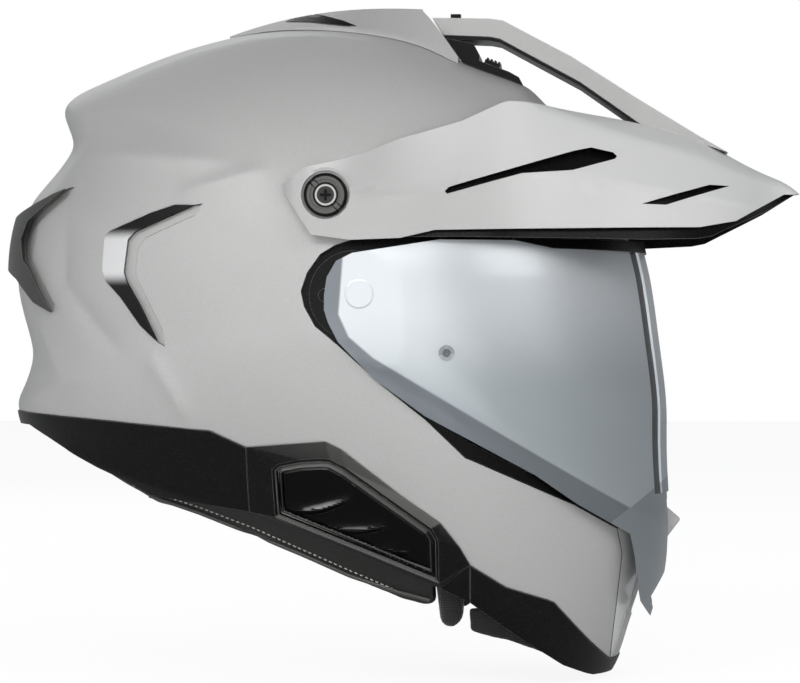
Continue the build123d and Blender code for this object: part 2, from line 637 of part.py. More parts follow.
# Comfort padding: cheek pads, a neck roll, chin foam, a chin curtain and a breath guard
cheek_shares = [
    (-0.105, -0.088), (0.145, -0.088), (0.175, -0.160), (0.225, -0.232), (0.228, -0.330), (0.222, -0.440),
    (0.222, -0.490), (0.205, -0.503), (0.186, -0.498), (0.180, -0.395), (-0.050, -0.300), (-0.105, -0.270)]
neck_roll_shares = [
    (-0.600, -0.168), (-0.440, -0.178), (-0.330, -0.2385), (-0.250, -0.2785), (-0.112, -0.2935),
    (-0.105, -0.2735), (-0.050, -0.3035), (0.178, -0.399), (0.178, -0.463), (0.165, -0.467), (0.126, -0.457),
    (0.050, -0.426), (-0.026, -0.392), (-0.102, -0.359), (-0.179, -0.331), (-0.250, -0.313),
    (-0.266, -0.303), (-0.340, -0.262), (-0.440, -0.200), (-0.600, -0.185)]
chin_foam_shares = [(0.236, -0.270), (0.330, -0.297), (0.410, -0.325), (0.600, -0.345), (0.600, -0.530),
                    (0.405, -0.530), (0.305, -0.463), (0.236, -0.440)]
curtain_shares = [
    (0.232, -0.470), (0.300, -0.470), (0.400, -0.535), (0.600, -0.535), (0.600, -0.566), (0.390, -0.566),
    (0.368, -0.5605), (0.350, -0.5455), (0.291, -0.522), (0.237, -0.508), (0.232, -0.505)]
guard_shares = [(0.330, -0.290), (0.600, -0.320), (0.600, -0.400), (0.330, -0.360)]
cheek_depth = 5.1
cheek_round = 5.0
curtain_depth = 5.2
curtain_wall = 3.8
guard_depth = 19.0
guard_wall = 2.0
guard_half_width = 50.0
pocket_half_width = 26.0
pocket_low = -165.0
pocket_high = -120.0
pocket_depth = 9.0
channel_half_width = 18.0
channel_low = -150.0
channel_high = -132.0

# Chin straps: flat webbing riveted inside the shell, with a loop for the rings on the right
strap_path = [(104, -72), (101, -88), (82, -107), (69, -125), (50, -134.5), (31, -136.5), (12, -136.5)]
strap_width = 22.0
strap_wall = 1.6
strap_x = 38.0
strap_slot_gap = 0.6
loop_y = 14.0
loop_inner_radius = 4.4
loop_wall = 1.4
ring_wire_radius = 1.6
ring_offset = 2.6
ring_half_width = 15.5
rivet_z = -76.0
rivet_radius = 3.0
rivet_head_radius = 5.0
rivet_start_y = 100.5
rivet_head_end_y = 102.6
rivet_end_y = 106.5


def strap(wall, spread, hand, end=0):
    """The strap's webbing on one side, as a band of the given thickness and width."""
    points = strap_path[:len(strap_path) - end]
    with BuildPart() as body:
        with BuildSketch(Plane.YZ.offset(strap_x - spread / 2)):
            with BuildLine():
                middle = Spline(*[(hand * y, z) for y, z in points], mode=Mode.PRIVATE)
                sides = []
                for side in (-1, 1):
                    row = []
                    for step in range(2 * len(points) + 1):
                        share = step / (2 * len(points))
                        along = middle % share
                        spot = middle @ share
                        row.append((spot.X - side * along.Y * wall / 2, spot.Y + side * along.X * wall / 2))
                    sides.append(Spline(*row))
                Line(sides[0] @ 0, sides[1] @ 0)
                Line(sides[0] @ 1, sides[1] @ 1)
            make_face()
        extrude(amount=spread)
    return body.part


def strap_tube(radius, spread):
    """A round bar along the helmet at the strap's loop."""
    with BuildPart() as body:
        with BuildSketch(Plane.YZ.offset(strap_x - spread / 2)):
            with Locations((-loop_y, strap_path[-1][1])):
                Circle(radius)
        extrude(amount=spread)
    return body.part


with BuildPart() as strap_right:
    add(strap(strap_wall, strap_width, -1, end=1))
    add(strap_tube(loop_inner_radius + loop_wall, strap_width))
    with BuildSketch(Plane.YZ.offset(strap_x - strap_width / 2)):
        with Locations((-(loop_y + strap_path[-2][0]) / 2, strap_path[-1][1])):
            Rectangle(strap_path[-2][0] - loop_y, strap_wall)
    extrude(amount=strap_width)
    add(strap_tube(loop_inner_radius, 2 * strap_width), mode=Mode.SUBTRACT)
    add(disc([(strap_x, rivet_z)], rivet_radius + running_gap, 0, shell_half_width, -1), mode=Mode.SUBTRACT)
save(strap_right.part, "chin_strap_right")
with BuildPart() as strap_left:
    add(strap(strap_wall, strap_width, 1))
    add(disc([(strap_x, rivet_z)], rivet_radius + running_gap, 0, shell_half_width, 1), mode=Mode.SUBTRACT)
save(strap_left.part, "chin_strap_left")
rivet_point = [(strap_x, rivet_z)]
with BuildPart() as rivets:
    for hand in hands:
        add(disc(rivet_point, rivet_head_radius, rivet_start_y, rivet_head_end_y - strap_wall, hand))
        add(disc(rivet_point, rivet_radius, rivet_start_y, rivet_end_y, hand))
save(rivets.part, "strap_rivets")
with BuildPart() as rings:
    for level in (-ring_offset, ring_offset):
        with BuildSketch(Plane.YZ.offset(strap_x - ring_half_width - ring_wire_radius)):
            with Locations((-loop_y, strap_path[-1][1] + level)):
                Circle(ring_wire_radius)
        extrude(amount=2 * (ring_half_width + ring_wire_radius))
        with BuildSketch(Plane.XZ.offset(loop_y)):
            with Locations((strap_x + ring_half_width, strap_path[-1][1] + level)):
                Circle(ring_wire_radius)
        revolve(axis=Axis((strap_x, -loop_y, 0), (0, 0, 1)), revolution_arc=180)
save(rings.part, "strap_rings")

with BuildPart() as cheek_pad:
    add(form(-cheek_depth, -cheek_depth))
    add(prism(at(cheek_shares), hand=-1, start=cheek_half_space), mode=Mode.INTERSECT)
    inner_edges = cheek_pad.faces().sort_by(Axis.Y)[-1].edges()
    fillet(inner_edges, radius=cheek_round)
    add(frame_space, mode=Mode.SUBTRACT)
    add(strap(strap_wall + 2 * strap_slot_gap, strap_width + 2 * strap_slot_gap, -1), mode=Mode.SUBTRACT)
    add(disc(rivet_point, strap_width / 2 + slide_gap, rivet_start_y - strap_slot_gap, shell_half_width, -1),
        mode=Mode.SUBTRACT)
save_pair(cheek_pad.part, "cheek_pad")

roll_outside = form(-neck_roll_depth, -neck_roll_depth)
roll_inside = form(-neck_roll_depth - neck_roll_wall, -neck_roll_depth - neck_roll_wall)
with BuildPart() as neck_roll:
    add(layer(roll_outside, roll_inside, at(neck_roll_shares), gap=0))
    for hand in hands:
        add(strap(strap_wall + 2 * strap_slot_gap, strap_width + 2 * strap_slot_gap, hand),
            mode=Mode.SUBTRACT)
save(neck_roll.part, "neck_roll")

chin_foam_inside = form(-foam_depth - chin_foam_wall, -foam_depth - chin_foam_wall)
pocket_form = form(-foam_depth - pocket_depth, -foam_depth - pocket_depth)
with BuildPart() as pocket:
    add(foam_outside)
    add(pocket_form, mode=Mode.SUBTRACT)
    with BuildSketch(Plane.YZ):
        with Locations((0, (pocket_low + pocket_high) / 2)):
            Rectangle(2 * pocket_half_width, pocket_high - pocket_low)
    extrude(amount=shell_length, mode=Mode.INTERSECT)
with BuildPart() as chin_foam:
    add(layer(foam_outside, chin_foam_inside, at(chin_foam_shares), gap=0))
    add(frame_space, mode=Mode.SUBTRACT)
    add(pocket.part, mode=Mode.SUBTRACT)
    with BuildSketch(Plane.YZ):
        with Locations((0, (channel_low + channel_high) / 2)):
            RectangleRounded(2 * channel_half_width, channel_high - channel_low, 3 * vent_bar)
    extrude(amount=shell_length, mode=Mode.SUBTRACT)
save(chin_foam.part, "chin_foam")

with BuildPart() as curtain:
    add(layer(form(-curtain_depth, -curtain_depth),
              form(-curtain_depth - curtain_wall, -curtain_depth - curtain_wall), at(curtain_shares), gap=0))
save(curtain.part, "chin_curtain")
with BuildPart() as guard:
    add(layer(form(-guard_depth, -guard_depth), form(-guard_depth - guard_wall, -guard_depth - guard_wall),
              at(guard_shares), gap=0))
    with BuildSketch(Plane.YZ):
        Rectangle(2 * guard_half_width, 2 * shell_height)
    extrude(amount=shell_length, mode=Mode.INTERSECT)
save(guard.part, "breath_guard")

# Top vent cover: a ridged hood on the crown, with a dark insert in its opening on each side
hood_stations = [
    (-50, (10, 112), (4, 130.5), (2, 132)), (-22, (36, 100), (21, 134), (9, 139.5)),
    (10, (46, 100), (31, 133.5), (15, 143.7)), (35, (46, 100), (33, 129), (17, 144.2)),
    (66, (46, 100), (31, 121.5), (17, 143))]
hood_side = [(-60, 90), (-60, 150), (47, 150), (47, 143.3), (51, 139), (57.5, 130.5), (65.5, 119), (65.5, 90)]
hood_opening = [(-21.2, 138.2), (-14.2, 142.5), (-3.8, 141.5), (8.6, 137.7), (15, 134.8), (11, 134.5),
                (1.2, 135.7), (-8.7, 137.2)]
hood_opening_start = 6.0
hood_reach = 60.0
on_surface = form(seam_gap, seam_gap)
with BuildPart() as hood_block:
    for x, edge, shoulder, top in hood_stations:
        half = [edge, shoulder, top]
        with BuildSketch(Plane.YZ.offset(x)):
            with BuildLine():
                Polyline(*half, *[(-y, z) for y, z in reversed(half)], close=True)
            make_face()
    loft()
    add(prism(hood_side, reach=hood_reach), mode=Mode.INTERSECT)
    add(on_surface, mode=Mode.SUBTRACT)
with BuildPart() as hood:
    add(hood_block.part)
    for hand in hands:
        add(prism(hood_opening, gap=seam_gap / 2, hand=hand, start=hood_opening_start), mode=Mode.SUBTRACT)
save(hood.part, "top_vent_cover")
with BuildPart() as hood_openings:
    for hand in hands:
        add(prism(hood_opening, gap=-seam_gap / 2, hand=hand, start=hood_opening_start + seam_gap / 2))
with BuildPart() as crown_insert:
    add(hood_block.part)
    add(hood_openings.part, mode=Mode.INTERSECT)
save(crown_insert.part, "crown_vent_insert")

# Brow vent: a stepped base in front of the hood, with a ribbed slider on its slope
brow_side = [(58.6, 129.4), (72.5, 126.6), (75.5, 121), (75.5, 118), (90, 112.6), (95, 109.8), (98, 104),
             (98, 95), (66.3, 105), (66.3, 118.6)]
brow_half_width = 20.0
slider_start = (77.5, 117.3)
slider_slope = 20.4
slider_length = 8.0
slider_height = 3.0
slider_half_width = 12.0
slider_rib = 1.0
slider_rib_count = 4
with BuildPart() as brow_base:
    add(prism(brow_side, reach=brow_half_width))
    add(on_surface, mode=Mode.SUBTRACT)
save(brow_base.part, "brow_vent_base")
turn = math.radians(-slider_slope)
slider_plane = Plane(origin=(slider_start[0], 0, slider_start[1] + seam_gap),
                     x_dir=(math.cos(turn), 0, math.sin(turn)), z_dir=(-math.sin(turn), 0, math.cos(turn)))
with BuildPart() as brow_slider:
    with BuildSketch(slider_plane):
        Rectangle(slider_length, 2 * slider_half_width, align=(Align.MIN, Align.CENTER))
    extrude(amount=slider_height - slider_rib)
    with BuildSketch(slider_plane.offset(slider_height - slider_rib)):
        for rib in range(slider_rib_count):
            with Locations((slider_rib / 2 + rib * 2 * slider_rib, 0)):
                Rectangle(slider_rib, 2 * slider_half_width, align=(Align.MIN, Align.CENTER))
    extrude(amount=slider_rib)
save(brow_slider.part, "brow_vent_slider")

# Peak: a painted moulding of two wings, a front deck and a bridge to the crown
peak_stations = [
    (-20, 121, (115, 48), (106, 66), 112), (10, 128, (121.5, 48), (110.5, 70), 116),
    (30, 129, (122.3, 49), (108, 74), 116), (50, 129, (122.5, 50), (104.5, 79), 115),
    (70, 127, (119.5, 54), (93.5, 86.5), 110), (90, 124, (114, 58), (80, 94), 103),
    (115, 117, (103, 58), (66, 90), 97), (153, 103, (90, 52), (58, 77.5), 88),
    (184, 86, (72, 48), (46, 68.5), 79), (203, 68, (55, 45), (34, 61.5), 69),
    (222, 38, (26, 42), (12, 56), 60), (peak_reach + 4, 34, (22, 38), (10, 48.5), 50.5)]
peak_base_z = 14.0
peak_wall = 2.6
peak_side = [
    (-13.8, 53), (-2.9, 61), (15.5, 65.7), (27.3, 69.4), (41.3, 75.1), (51.6, 78), (70.2, 84.1), (87.6, 93),
    (94.6, 96), (100, 130), (240, 130), (240, 53), (231, 52), (225.7, 51.8), (200.6, 37.3), (182.8, 33.8),
    (96.2, 32.1), (58.5, 31.4), (42.1, 27.6), (18.1, 26.8), (0.5, 29.2), (-12.7, 49.2)]
peak_window = [(60, -74), (94, -76), (150, -18), (150, 18), (94, 76), (60, 74)]
peak_window_base = 60.0
wing_slots = [
    [(63, 49.7), (64.8, 51.6), (93.2, 60.4), (123.5, 70.4), (131, 72.1), (141.5, 69.9), (143.4, 68),
     (142.4, 66.6), (122.6, 60.5), (98.7, 58.4), (63.9, 48.3)],
    [(155.2, 44.6), (187.9, 54.8), (197.7, 54.6), (166.7, 44.3)]]
wing_slot_start = 30.0
bridge_side = [
    (52, 139.5), (80.5, 139), (87, 138), (121, 120), (153, 99.5), (184, 80.5), (198, 72.5), (184, 77),
    (155, 86.5), (125, 107.5), (85.5, 129), (80.5, 130), (57.5, 131)]
bridge_half_width = 18.0
bridge_hood_gap = 0.4
boss_radius = 13.0
boss_start_y = 112.0
boss_end_y = 119.5
knob_recess_radius = 11.4
tab_start_x = 60.0
tab_foot_length = 6.0
tab_stem_length = 5.0
tab_foot_half_width = 6.0
tab_stem_half_width = 4.0
tab_low = 131.8
tab_foot_top = 135.4
tab_top = 142.5
tab_travel = 2.5


def peak_form(inset):
    """The peak's rounded form, shrunk by inset."""
    with BuildPart() as body:
        for x, base, cheek, shoulder, top in peak_stations:
            with BuildSketch(Plane.YZ.offset(x)):
                with BuildLine():
                    Polyline((shoulder[0], shoulder[1]), cheek, (base, peak_base_z), (-base, peak_base_z),
                             (-cheek[0], cheek[1]), (-shoulder[0], shoulder[1]))
                    ThreePointArc((-shoulder[0], shoulder[1]), (0, top), shoulder)
                make_face()
                if inset:
                    offset(amount=-inset, kind=Kind.INTERSECTION)
        loft()
    return body.part


tab_middle = tab_start_x + tab_foot_length / 2
with BuildPart() as bridge:
    add(prism(bridge_side, reach=bridge_half_width))
    add(prism(hood_side, gap=bridge_hood_gap, reach=hood_reach), mode=Mode.SUBTRACT)
    with BuildSketch(Plane.XY.offset(tab_low - seam_gap)):
        with Locations((tab_middle + tab_travel / 2, 0)):
            Rectangle(tab_foot_length + tab_travel + 2 * slide_gap, 2 * (tab_foot_half_width + slide_gap))
    extrude(amount=tab_foot_top - tab_low + 2 * seam_gap, mode=Mode.SUBTRACT)
    with BuildSketch(Plane.XY.offset(tab_low)):
        with Locations((tab_middle + tab_travel / 2, 0)):
            Rectangle(tab_stem_length + tab_travel + 2 * slide_gap, 2 * (tab_stem_half_width + slide_gap))
    extrude(amount=overrun, mode=Mode.SUBTRACT)
with BuildPart() as peak_inside:
    add(peak_form(peak_wall))
with BuildPart() as peak:
    add(peak_form(0))
    add(peak_inside.part, mode=Mode.SUBTRACT)
    add(prism(peak_side), mode=Mode.INTERSECT)
    with BuildSketch(Plane.XY.offset(peak_window_base)):
        with BuildLine():
            Polyline(*peak_window, close=True)
        make_face()
    extrude(amount=shell_height, mode=Mode.SUBTRACT)
    for hand in hands:
        for slot in wing_slots:
            add(prism(slot, hand=hand, start=wing_slot_start), mode=Mode.SUBTRACT)
        add(disc([(knob_x, knob_z)], boss_radius, boss_start_y, boss_end_y, hand))
        add(disc([(knob_x, knob_z)], knob_recess_radius, knob_seat_y, peak_half_width + overrun, hand),
            mode=Mode.SUBTRACT)
        add(disc([(knob_x, knob_z)], screw_radius + running_gap, 0, peak_half_width + overrun, hand),
            mode=Mode.SUBTRACT)
    add(on_surface, mode=Mode.SUBTRACT)
    add(bridge.part)
save(peak.part, "peak")

# Peak liner: a thin black lining under the deck and wings
liner_shares = [
    (40, 30), (44, 28.2), (72, 28.3), (158, 27.6), (182, 28.4), (188.6, 29.6), (195.5, 33), (216.4, 43),
    (230.6, 51.6), (228, 54), (205, 63), (145, 77), (128, 77), (100, 70), (60, 57), (40, 40)]
liner_wall = 1.8
liner_start = 20.0
with BuildPart() as liner:
    add(peak_form(peak_wall + seam_gap))
    add(peak_form(peak_wall + seam_gap + liner_wall), mode=Mode.SUBTRACT)
    add(prism(liner_shares), mode=Mode.INTERSECT)
    add(on_surface, mode=Mode.SUBTRACT)
save(liner.part, "peak_liner")

with BuildPart() as tab:
    with BuildSketch(Plane.XY.offset(tab_low)):
        with Locations((tab_middle, 0)):
            Rectangle(tab_foot_length, 2 * tab_foot_half_width)
    extrude(amount=tab_foot_top - tab_low)
    with BuildSketch(Plane.XY.offset(tab_low)):
        with Locations((tab_middle, 0)):
            Rectangle(tab_stem_length, 2 * tab_stem_half_width)
    extrude(amount=tab_top - tab_low)
save(tab.part, "peak_lock_tab")

# Peak fixings: a coin knob and a screw on each side
screw_head_radius = 5.0
screw_head_height = 1.8
screw_recess = 1.0
screw_end_y = 110.8
coin_slot_width = 2.4
coin_slot_depth = 1.4
coin_slot_angle = 45.0
counterbore_depth = 2.0
knob_top_y = knob_seat_y + knob_thickness
knob_point = [(knob_x, knob_z)]
with BuildPart() as knob:
    add(disc(knob_point, knob_radius, knob_seat_y + seam_gap, knob_top_y, -1))
    fillet(knob.edges().filter_by(GeomType.CIRCLE).sort_by(Axis.Y)[0], radius=seam_gap)
    with BuildSketch(Plane.XZ.offset(knob_top_y)):
        with Locations((knob_x, knob_z)):
            Rectangle(2 * knob_radius + seam_gap, coin_slot_width, rotation=-coin_slot_angle)
    extrude(amount=-coin_slot_depth, mode=Mode.SUBTRACT)
    add(disc(knob_point, screw_head_radius + running_gap, knob_top_y - counterbore_depth, knob_top_y, -1),
        mode=Mode.SUBTRACT)
    add(disc(knob_point, screw_radius + running_gap, 0, knob_top_y, -1), mode=Mode.SUBTRACT)
save_pair(knob.part, "peak_knob")
screw_top_y = knob_top_y - counterbore_depth + screw_head_height
with BuildPart() as screw:
    add(disc(knob_point, screw_head_radius, knob_top_y - counterbore_depth, screw_top_y, -1))
    add(disc(knob_point, screw_radius, screw_end_y, screw_top_y, -1))
    with BuildSketch(Plane.XZ.offset(screw_top_y)):
        with Locations((knob_x, knob_z)):
            for angle in (coin_slot_angle, coin_slot_angle + 90):
                Rectangle(screw_head_radius, screw_recess, rotation=angle)
    extrude(amount=-screw_recess, mode=Mode.SUBTRACT)
save_pair(screw.part, "peak_screw")
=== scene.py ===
import bpy
import bmesh
import math
import numpy as np
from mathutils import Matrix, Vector, noise
from mathutils.bvhtree import BVHTree


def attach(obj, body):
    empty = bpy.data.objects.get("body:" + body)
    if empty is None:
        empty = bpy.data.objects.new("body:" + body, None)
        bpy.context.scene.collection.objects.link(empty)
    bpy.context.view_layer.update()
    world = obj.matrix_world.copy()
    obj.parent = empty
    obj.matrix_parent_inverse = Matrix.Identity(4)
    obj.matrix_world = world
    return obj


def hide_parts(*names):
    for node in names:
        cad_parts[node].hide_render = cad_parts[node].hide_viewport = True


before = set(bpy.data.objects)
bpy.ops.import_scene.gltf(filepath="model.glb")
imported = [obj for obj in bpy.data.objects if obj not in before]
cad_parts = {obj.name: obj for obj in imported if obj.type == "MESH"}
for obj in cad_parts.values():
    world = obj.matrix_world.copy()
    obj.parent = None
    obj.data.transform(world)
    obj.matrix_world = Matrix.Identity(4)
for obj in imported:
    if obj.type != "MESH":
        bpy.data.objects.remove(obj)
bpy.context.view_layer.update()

# Studio: a level camera to the wearer's right, a little forward of square, with a long lens.
# Large soft boxes and a pale world that darkens upwards light the paint, over a plain white floor.
# Camera rays see the world and the floor as plain white, and the floor keeps the helmet's shadow.
scene = bpy.context.scene
scene.view_settings.view_transform = "Standard"
camera_data = bpy.data.cameras.new("camera")
camera_data.sensor_width = 36.0
camera_data.lens = 171.0
camera_data.clip_end = 20.0
camera = bpy.data.objects.new("camera", camera_data)
scene.collection.objects.link(camera)
scene.camera = camera
aim = Vector((0.035, 0.0, -0.02075))
camera_distance = 1.9
camera_turn = math.radians(3.3)
camera.location = aim + camera_distance * Vector((math.sin(camera_turn), -math.cos(camera_turn), 0))
camera.rotation_euler = (math.radians(90), 0, camera_turn)


def linear(code):
    """The linear colour of an sRGB hex value."""
    parts = [int(code[i:i + 2], 16) / 255 for i in (1, 3, 5)]
    parts = [part / 12.92 if part <= 0.04045 else ((part + 0.055) / 1.055) ** 2.4 for part in parts]
    return (*parts, 1)


def put(tree, kind, sockets=None, **settings):
    """Adds one node, and links or sets each of its sockets that is given."""
    made = tree.nodes.new(kind)
    for name, value in settings.items():
        setattr(made, name, value)
    for name, value in (sockets or {}).items():
        if isinstance(value, bpy.types.NodeSocket):
            tree.links.new(value, made.inputs[name])
        else:
            made.inputs[name].default_value = value
    return made


def soft_box(name, place, size, watts):
    """A rectangular area lamp that faces the helmet."""
    data = bpy.data.lights.new(name, "AREA")
    data.shape = "RECTANGLE"
    data.size, data.size_y = size
    data.energy = watts
    lamp = bpy.data.objects.new(name, data)
    scene.collection.objects.link(lamp)
    lamp.location = place
    lamp.rotation_euler = (aim - Vector(place)).to_track_quat("-Z", "Y").to_euler()


soft_box("key_box", (-0.6, -2.5, 0.8), (3.2, 2.2), 24)
soft_box("side_box", (-1.9, -1.0, 0.2), (1.0, 1.6), 4)
soft_box("front_box", (1.7, -1.4, 1.1), (1.2, 1.2), 11)
soft_box("low_box", (0.1, -1.5, -0.12), (1.6, 0.2), 2)
soft_box("strip_box", (-0.3, -2.0, 1.05), (2.4, 0.14), 11)
soft_box("top_box", (0.5, -0.5, 1.9), (1.2, 0.4), 0.6)
soft_box("rear_box", (-0.7, 1.8, 1.2), (1.6, 1.4), 6)

world = bpy.data.worlds.new("studio")
scene.world = world
world.use_nodes = True
tree = world.node_tree
tree.nodes.clear()
rays = put(tree, "ShaderNodeLightPath")
seen = put(tree, "ShaderNodeMath", {0: rays.outputs["Is Camera Ray"],
                                    1: rays.outputs["Is Transmission Ray"]}, operation="MAXIMUM")
upward = put(tree, "ShaderNodeSeparateXYZ", {0: put(tree, "ShaderNodeTexCoord").outputs["Generated"]})
fall = put(tree, "ShaderNodeMapRange", {"Value": upward.outputs["Z"], "From Min": 0.1,
                                        "From Max": 0.9, "To Min": 0.47, "To Max": 0.26})
even = put(tree, "ShaderNodeBackground", {"Color": linear("#D9DCE0"), "Strength": fall.outputs["Result"]})
pale = put(tree, "ShaderNodeBackground", {"Color": (1, 1, 1, 1), "Strength": 1.0})
mixed = put(tree, "ShaderNodeMixShader", {0: seen.outputs[0], 1: even.outputs[0], 2: pale.outputs[0]})
put(tree, "ShaderNodeOutputWorld", {"Surface": mixed.outputs[0]})


def material(name, **values):
    """A new material's node tree and its shader, with the shader's own sockets set."""
    made = bpy.data.materials.new(name)
    made.use_nodes = True
    tree = made.node_tree
    shader = tree.nodes["Principled BSDF"]
    for socket, value in values.items():
        shader.inputs[socket.replace("_", " ")].default_value = value
    return made, tree, shader


floor_level = -0.1865
floor_half = 6
floor_glow = 1.13
floor_mesh = bpy.data.meshes.new("floor")
corners = [(x * floor_half, y * floor_half, floor_level) for x, y in ((-1, -1), (1, -1), (1, 1), (-1, 1))]
floor_mesh.from_pydata(corners, [], [(0, 1, 2, 3)])
floor = bpy.data.objects.new("floor", floor_mesh)
scene.collection.objects.link(floor)
floor_paint, tree, shader = material("matt_white_board", Roughness=0.9, Base_Color=linear("#F4F4F4"))
rays = put(tree, "ShaderNodeLightPath")
shown = put(tree, "ShaderNodeMath", {0: rays.outputs["Is Camera Ray"], 1: 0.8}, operation="MULTIPLY")
glow = put(tree, "ShaderNodeEmission", {"Color": (1, 1, 1, 1), "Strength": floor_glow})
mixed = put(tree, "ShaderNodeMixShader", {0: shown.outputs[0], 1: shader.outputs[0], 2: glow.outputs[0]})
tree.links.new(mixed.outputs[0], tree.nodes["Material Output"].inputs["Surface"])
floor_mesh.materials.append(floor_paint)

# Outer shell: a moulded thermoplastic bowl, sprayed in a metallic grey and clear-coated, with its
# moulded creases running back from the brow, round the vents and down to the rear lip.
# The chin centre, the vents' scoops and the top cover are sprayed in the same paint.
flake_size = 0.0007
flake_dark = "#8E8E8C"
peel_size = 0.003
edge_round = 0.0005
highlight_facing = (0.6, 0, 0.8)
shell_cell = 0.004
weld_gap = 0.00002
# Colour of the painted highlight on the paint's rounded edges.
edge_highlight_colour = "#F6F6F4"


def edge_light(tree, edge, base, code, share):
    """The base colour with a painted highlight on the rounded edges, where gloss catches the lamps."""
    flat = put(tree, "ShaderNodeNewGeometry").outputs["Normal"]
    turn = put(tree, "ShaderNodeVectorMath", {0: edge.outputs["Normal"], 1: flat}, operation="DOT_PRODUCT")
    catch = put(tree, "ShaderNodeMapRange", {"Value": turn.outputs["Value"], "From Min": 0.98,
                                             "From Max": 0.85, "To Min": 0.0, "To Max": share})
    return put(tree, "ShaderNodeMix", {"Factor": catch.outputs["Result"], 6: base, 7: linear(code)},
               data_type="RGBA").outputs[2]


def paint(name, code, shade, facing_highlight=None):
    """Metallic basecoat with fine flakes, under a clear coat with a little orange peel.

    A painted highlight colour, if given, lightens the faces turned up and forward, standing in for the light
    from above; the rounded edges carry a painted highlight too.
    """
    made, tree, shader = material(name, Metallic=0.12, Roughness=0.5, Coat_Weight=0.45,
                                  Coat_Roughness=0.3)
    place = put(tree, "ShaderNodeTexCoord").outputs["Object"]
    flake = put(tree, "ShaderNodeTexNoise", {"Vector": place, "Scale": 1 / flake_size, "Detail": 1.0})
    tone = put(tree, "ShaderNodeMapRange", {"Value": flake.outputs["Fac"], "From Min": 0.35,
                                            "From Max": 0.65, "To Min": shade, "To Max": 1.0})
    base = put(tree, "ShaderNodeMix", {"Factor": tone.outputs["Result"], 6: linear(flake_dark),
                                       7: linear(code)}, data_type="RGBA")
    peel = put(tree, "ShaderNodeTexNoise", {"Vector": place, "Scale": 1 / peel_size, "Detail": 0.0})
    edge = put(tree, "ShaderNodeBevel", {"Radius": edge_round}, samples=4)
    # Painted highlight: faces turned up and forward are lightened towards the given colour.
    if facing_highlight:
        normal = put(tree, "ShaderNodeNewGeometry").outputs["Normal"]
        way = put(tree, "ShaderNodeVectorMath", {0: normal, 1: highlight_facing}, operation="DOT_PRODUCT")
        turned = put(tree, "ShaderNodeMapRange", {"Value": way.outputs["Value"], "From Min": 0.2,
                                                  "From Max": 0.75})
        base = put(tree, "ShaderNodeMix", {"Factor": turned.outputs["Result"], 6: base.outputs[2],
                                           7: linear(facing_highlight)}, data_type="RGBA")
    lit_edge = edge_light(tree, edge, base.outputs[2], edge_highlight_colour, 0.7)
    tree.links.new(lit_edge, shader.inputs["Base Color"])
    bump = put(tree, "ShaderNodeBump", {"Height": peel.outputs["Fac"], "Strength": 0.06,
                                        "Distance": 0.00005, "Normal": edge.outputs["Normal"]})
    tree.links.new(edge.outputs["Normal"], shader.inputs["Normal"])
    tree.links.new(bump.outputs["Normal"], shader.inputs["Coat Normal"])
    return made


shell_paint = paint("metallic_grey_basecoat", "#BABAB8", 0.86)


def smooth(piece, angle=32):
    """Smooth shading that stops at edges sharper than angle."""
    piece.data.shade_smooth()
    piece.modifiers.new("join", "WELD").merge_threshold = weld_gap
    split = piece.modifiers.new("edges", "EDGE_SPLIT")
    split.split_angle = math.radians(angle)
    split.use_edge_sharp = False


def finish(finish_material, *nodes):
    """Gives CAD nodes a material, and smooths them between their real edges."""
    for name in nodes:
        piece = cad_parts[name]
        piece.data.materials.clear()
        piece.data.materials.append(finish_material)
        smooth(piece)


# The shell's creases: points in side view in mm, the half-width of the roll-off, the height.
creases = [
    ([(-128, 99), (-95, 107.5), (-65, 119), (-35, 126), (0, 127.5), (40, 124)], 4.5, 2.0),
    ([(-128, 108), (-95, 117), (-65, 128), (-35, 135)], 5.0, -2.0),
    ([(-128, 57), (-114, 70), (-92, 69), (-60, 66), (-35, 64)], 6.0, 2.0),
    ([(-120, 86), (-105, 90), (-80, 84), (-50, 74)], 10.0, -1.6),
    ([(-66, 48), (-45, 54), (-20, 62)], 5.0, 1.8),
    ([(-80, -24), (-70, -40), (-55, -64)], 5.0, 1.9),
    ([(-124, 40), (-124, 8), (-108, -12), (-90, -30)], 6.0, -2.0),
    ([(-139, -8), (-132, -22), (-122, -42)], 5.0, 1.8),
    ([(-150, -52), (-138, -46), (-122, -40), (-104, -38)], 4.5, 1.8),
    ([(65, 116), (85, 111), (102, 98)], 3.5, 1.0)]


def crease_height(x, z, lines):
    """How far a point of the shell is raised by the creases beside it, in mm."""
    total = 0.0
    for points, width, height in lines:
        nearest = 1e9
        fade = 1.0
        for i, (start, stop) in enumerate(zip(points, points[1:])):
            dx, dz = stop[0] - start[0], stop[1] - start[1]
            share = max(0, min(1, ((x - start[0]) * dx + (z - start[1]) * dz) / (dx * dx + dz * dz)))
            gap = math.hypot(x - start[0] - share * dx, z - start[1] - share * dz)
            if gap < nearest:
                nearest = gap
                along = (i + share) / (len(points) - 1)
                fade = min(1, 4 * along + 0.05, 4 * (1 - along) + 0.05)
        if nearest < 4 * width:
            total += height * fade * math.exp(-(nearest / width) ** 1.3)
    return total


def copy_node(node, name):
    """A new piece with a CAD node's mesh, to be worked on in its place."""
    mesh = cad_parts[node].data.copy()
    mesh.name = name
    piece = bpy.data.objects.new(name, mesh)
    scene.collection.objects.link(piece)
    mesh.materials.clear()
    return piece


def refined(mesh, cell):
    """A mesh's form, joined and cut until its edges are about as short as cell."""
    work = bmesh.new()
    work.from_mesh(mesh)
    bmesh.ops.remove_doubles(work, verts=work.verts, dist=weld_gap)
    for rounds in range(5):
        long_edges = [edge for edge in work.edges if edge.calc_length() > cell]
        if not long_edges:
            break
        bmesh.ops.subdivide_edges(work, edges=long_edges, cuts=1)
        bmesh.ops.triangulate(work, faces=[face for face in work.faces if len(face.verts) > 3])
    return work


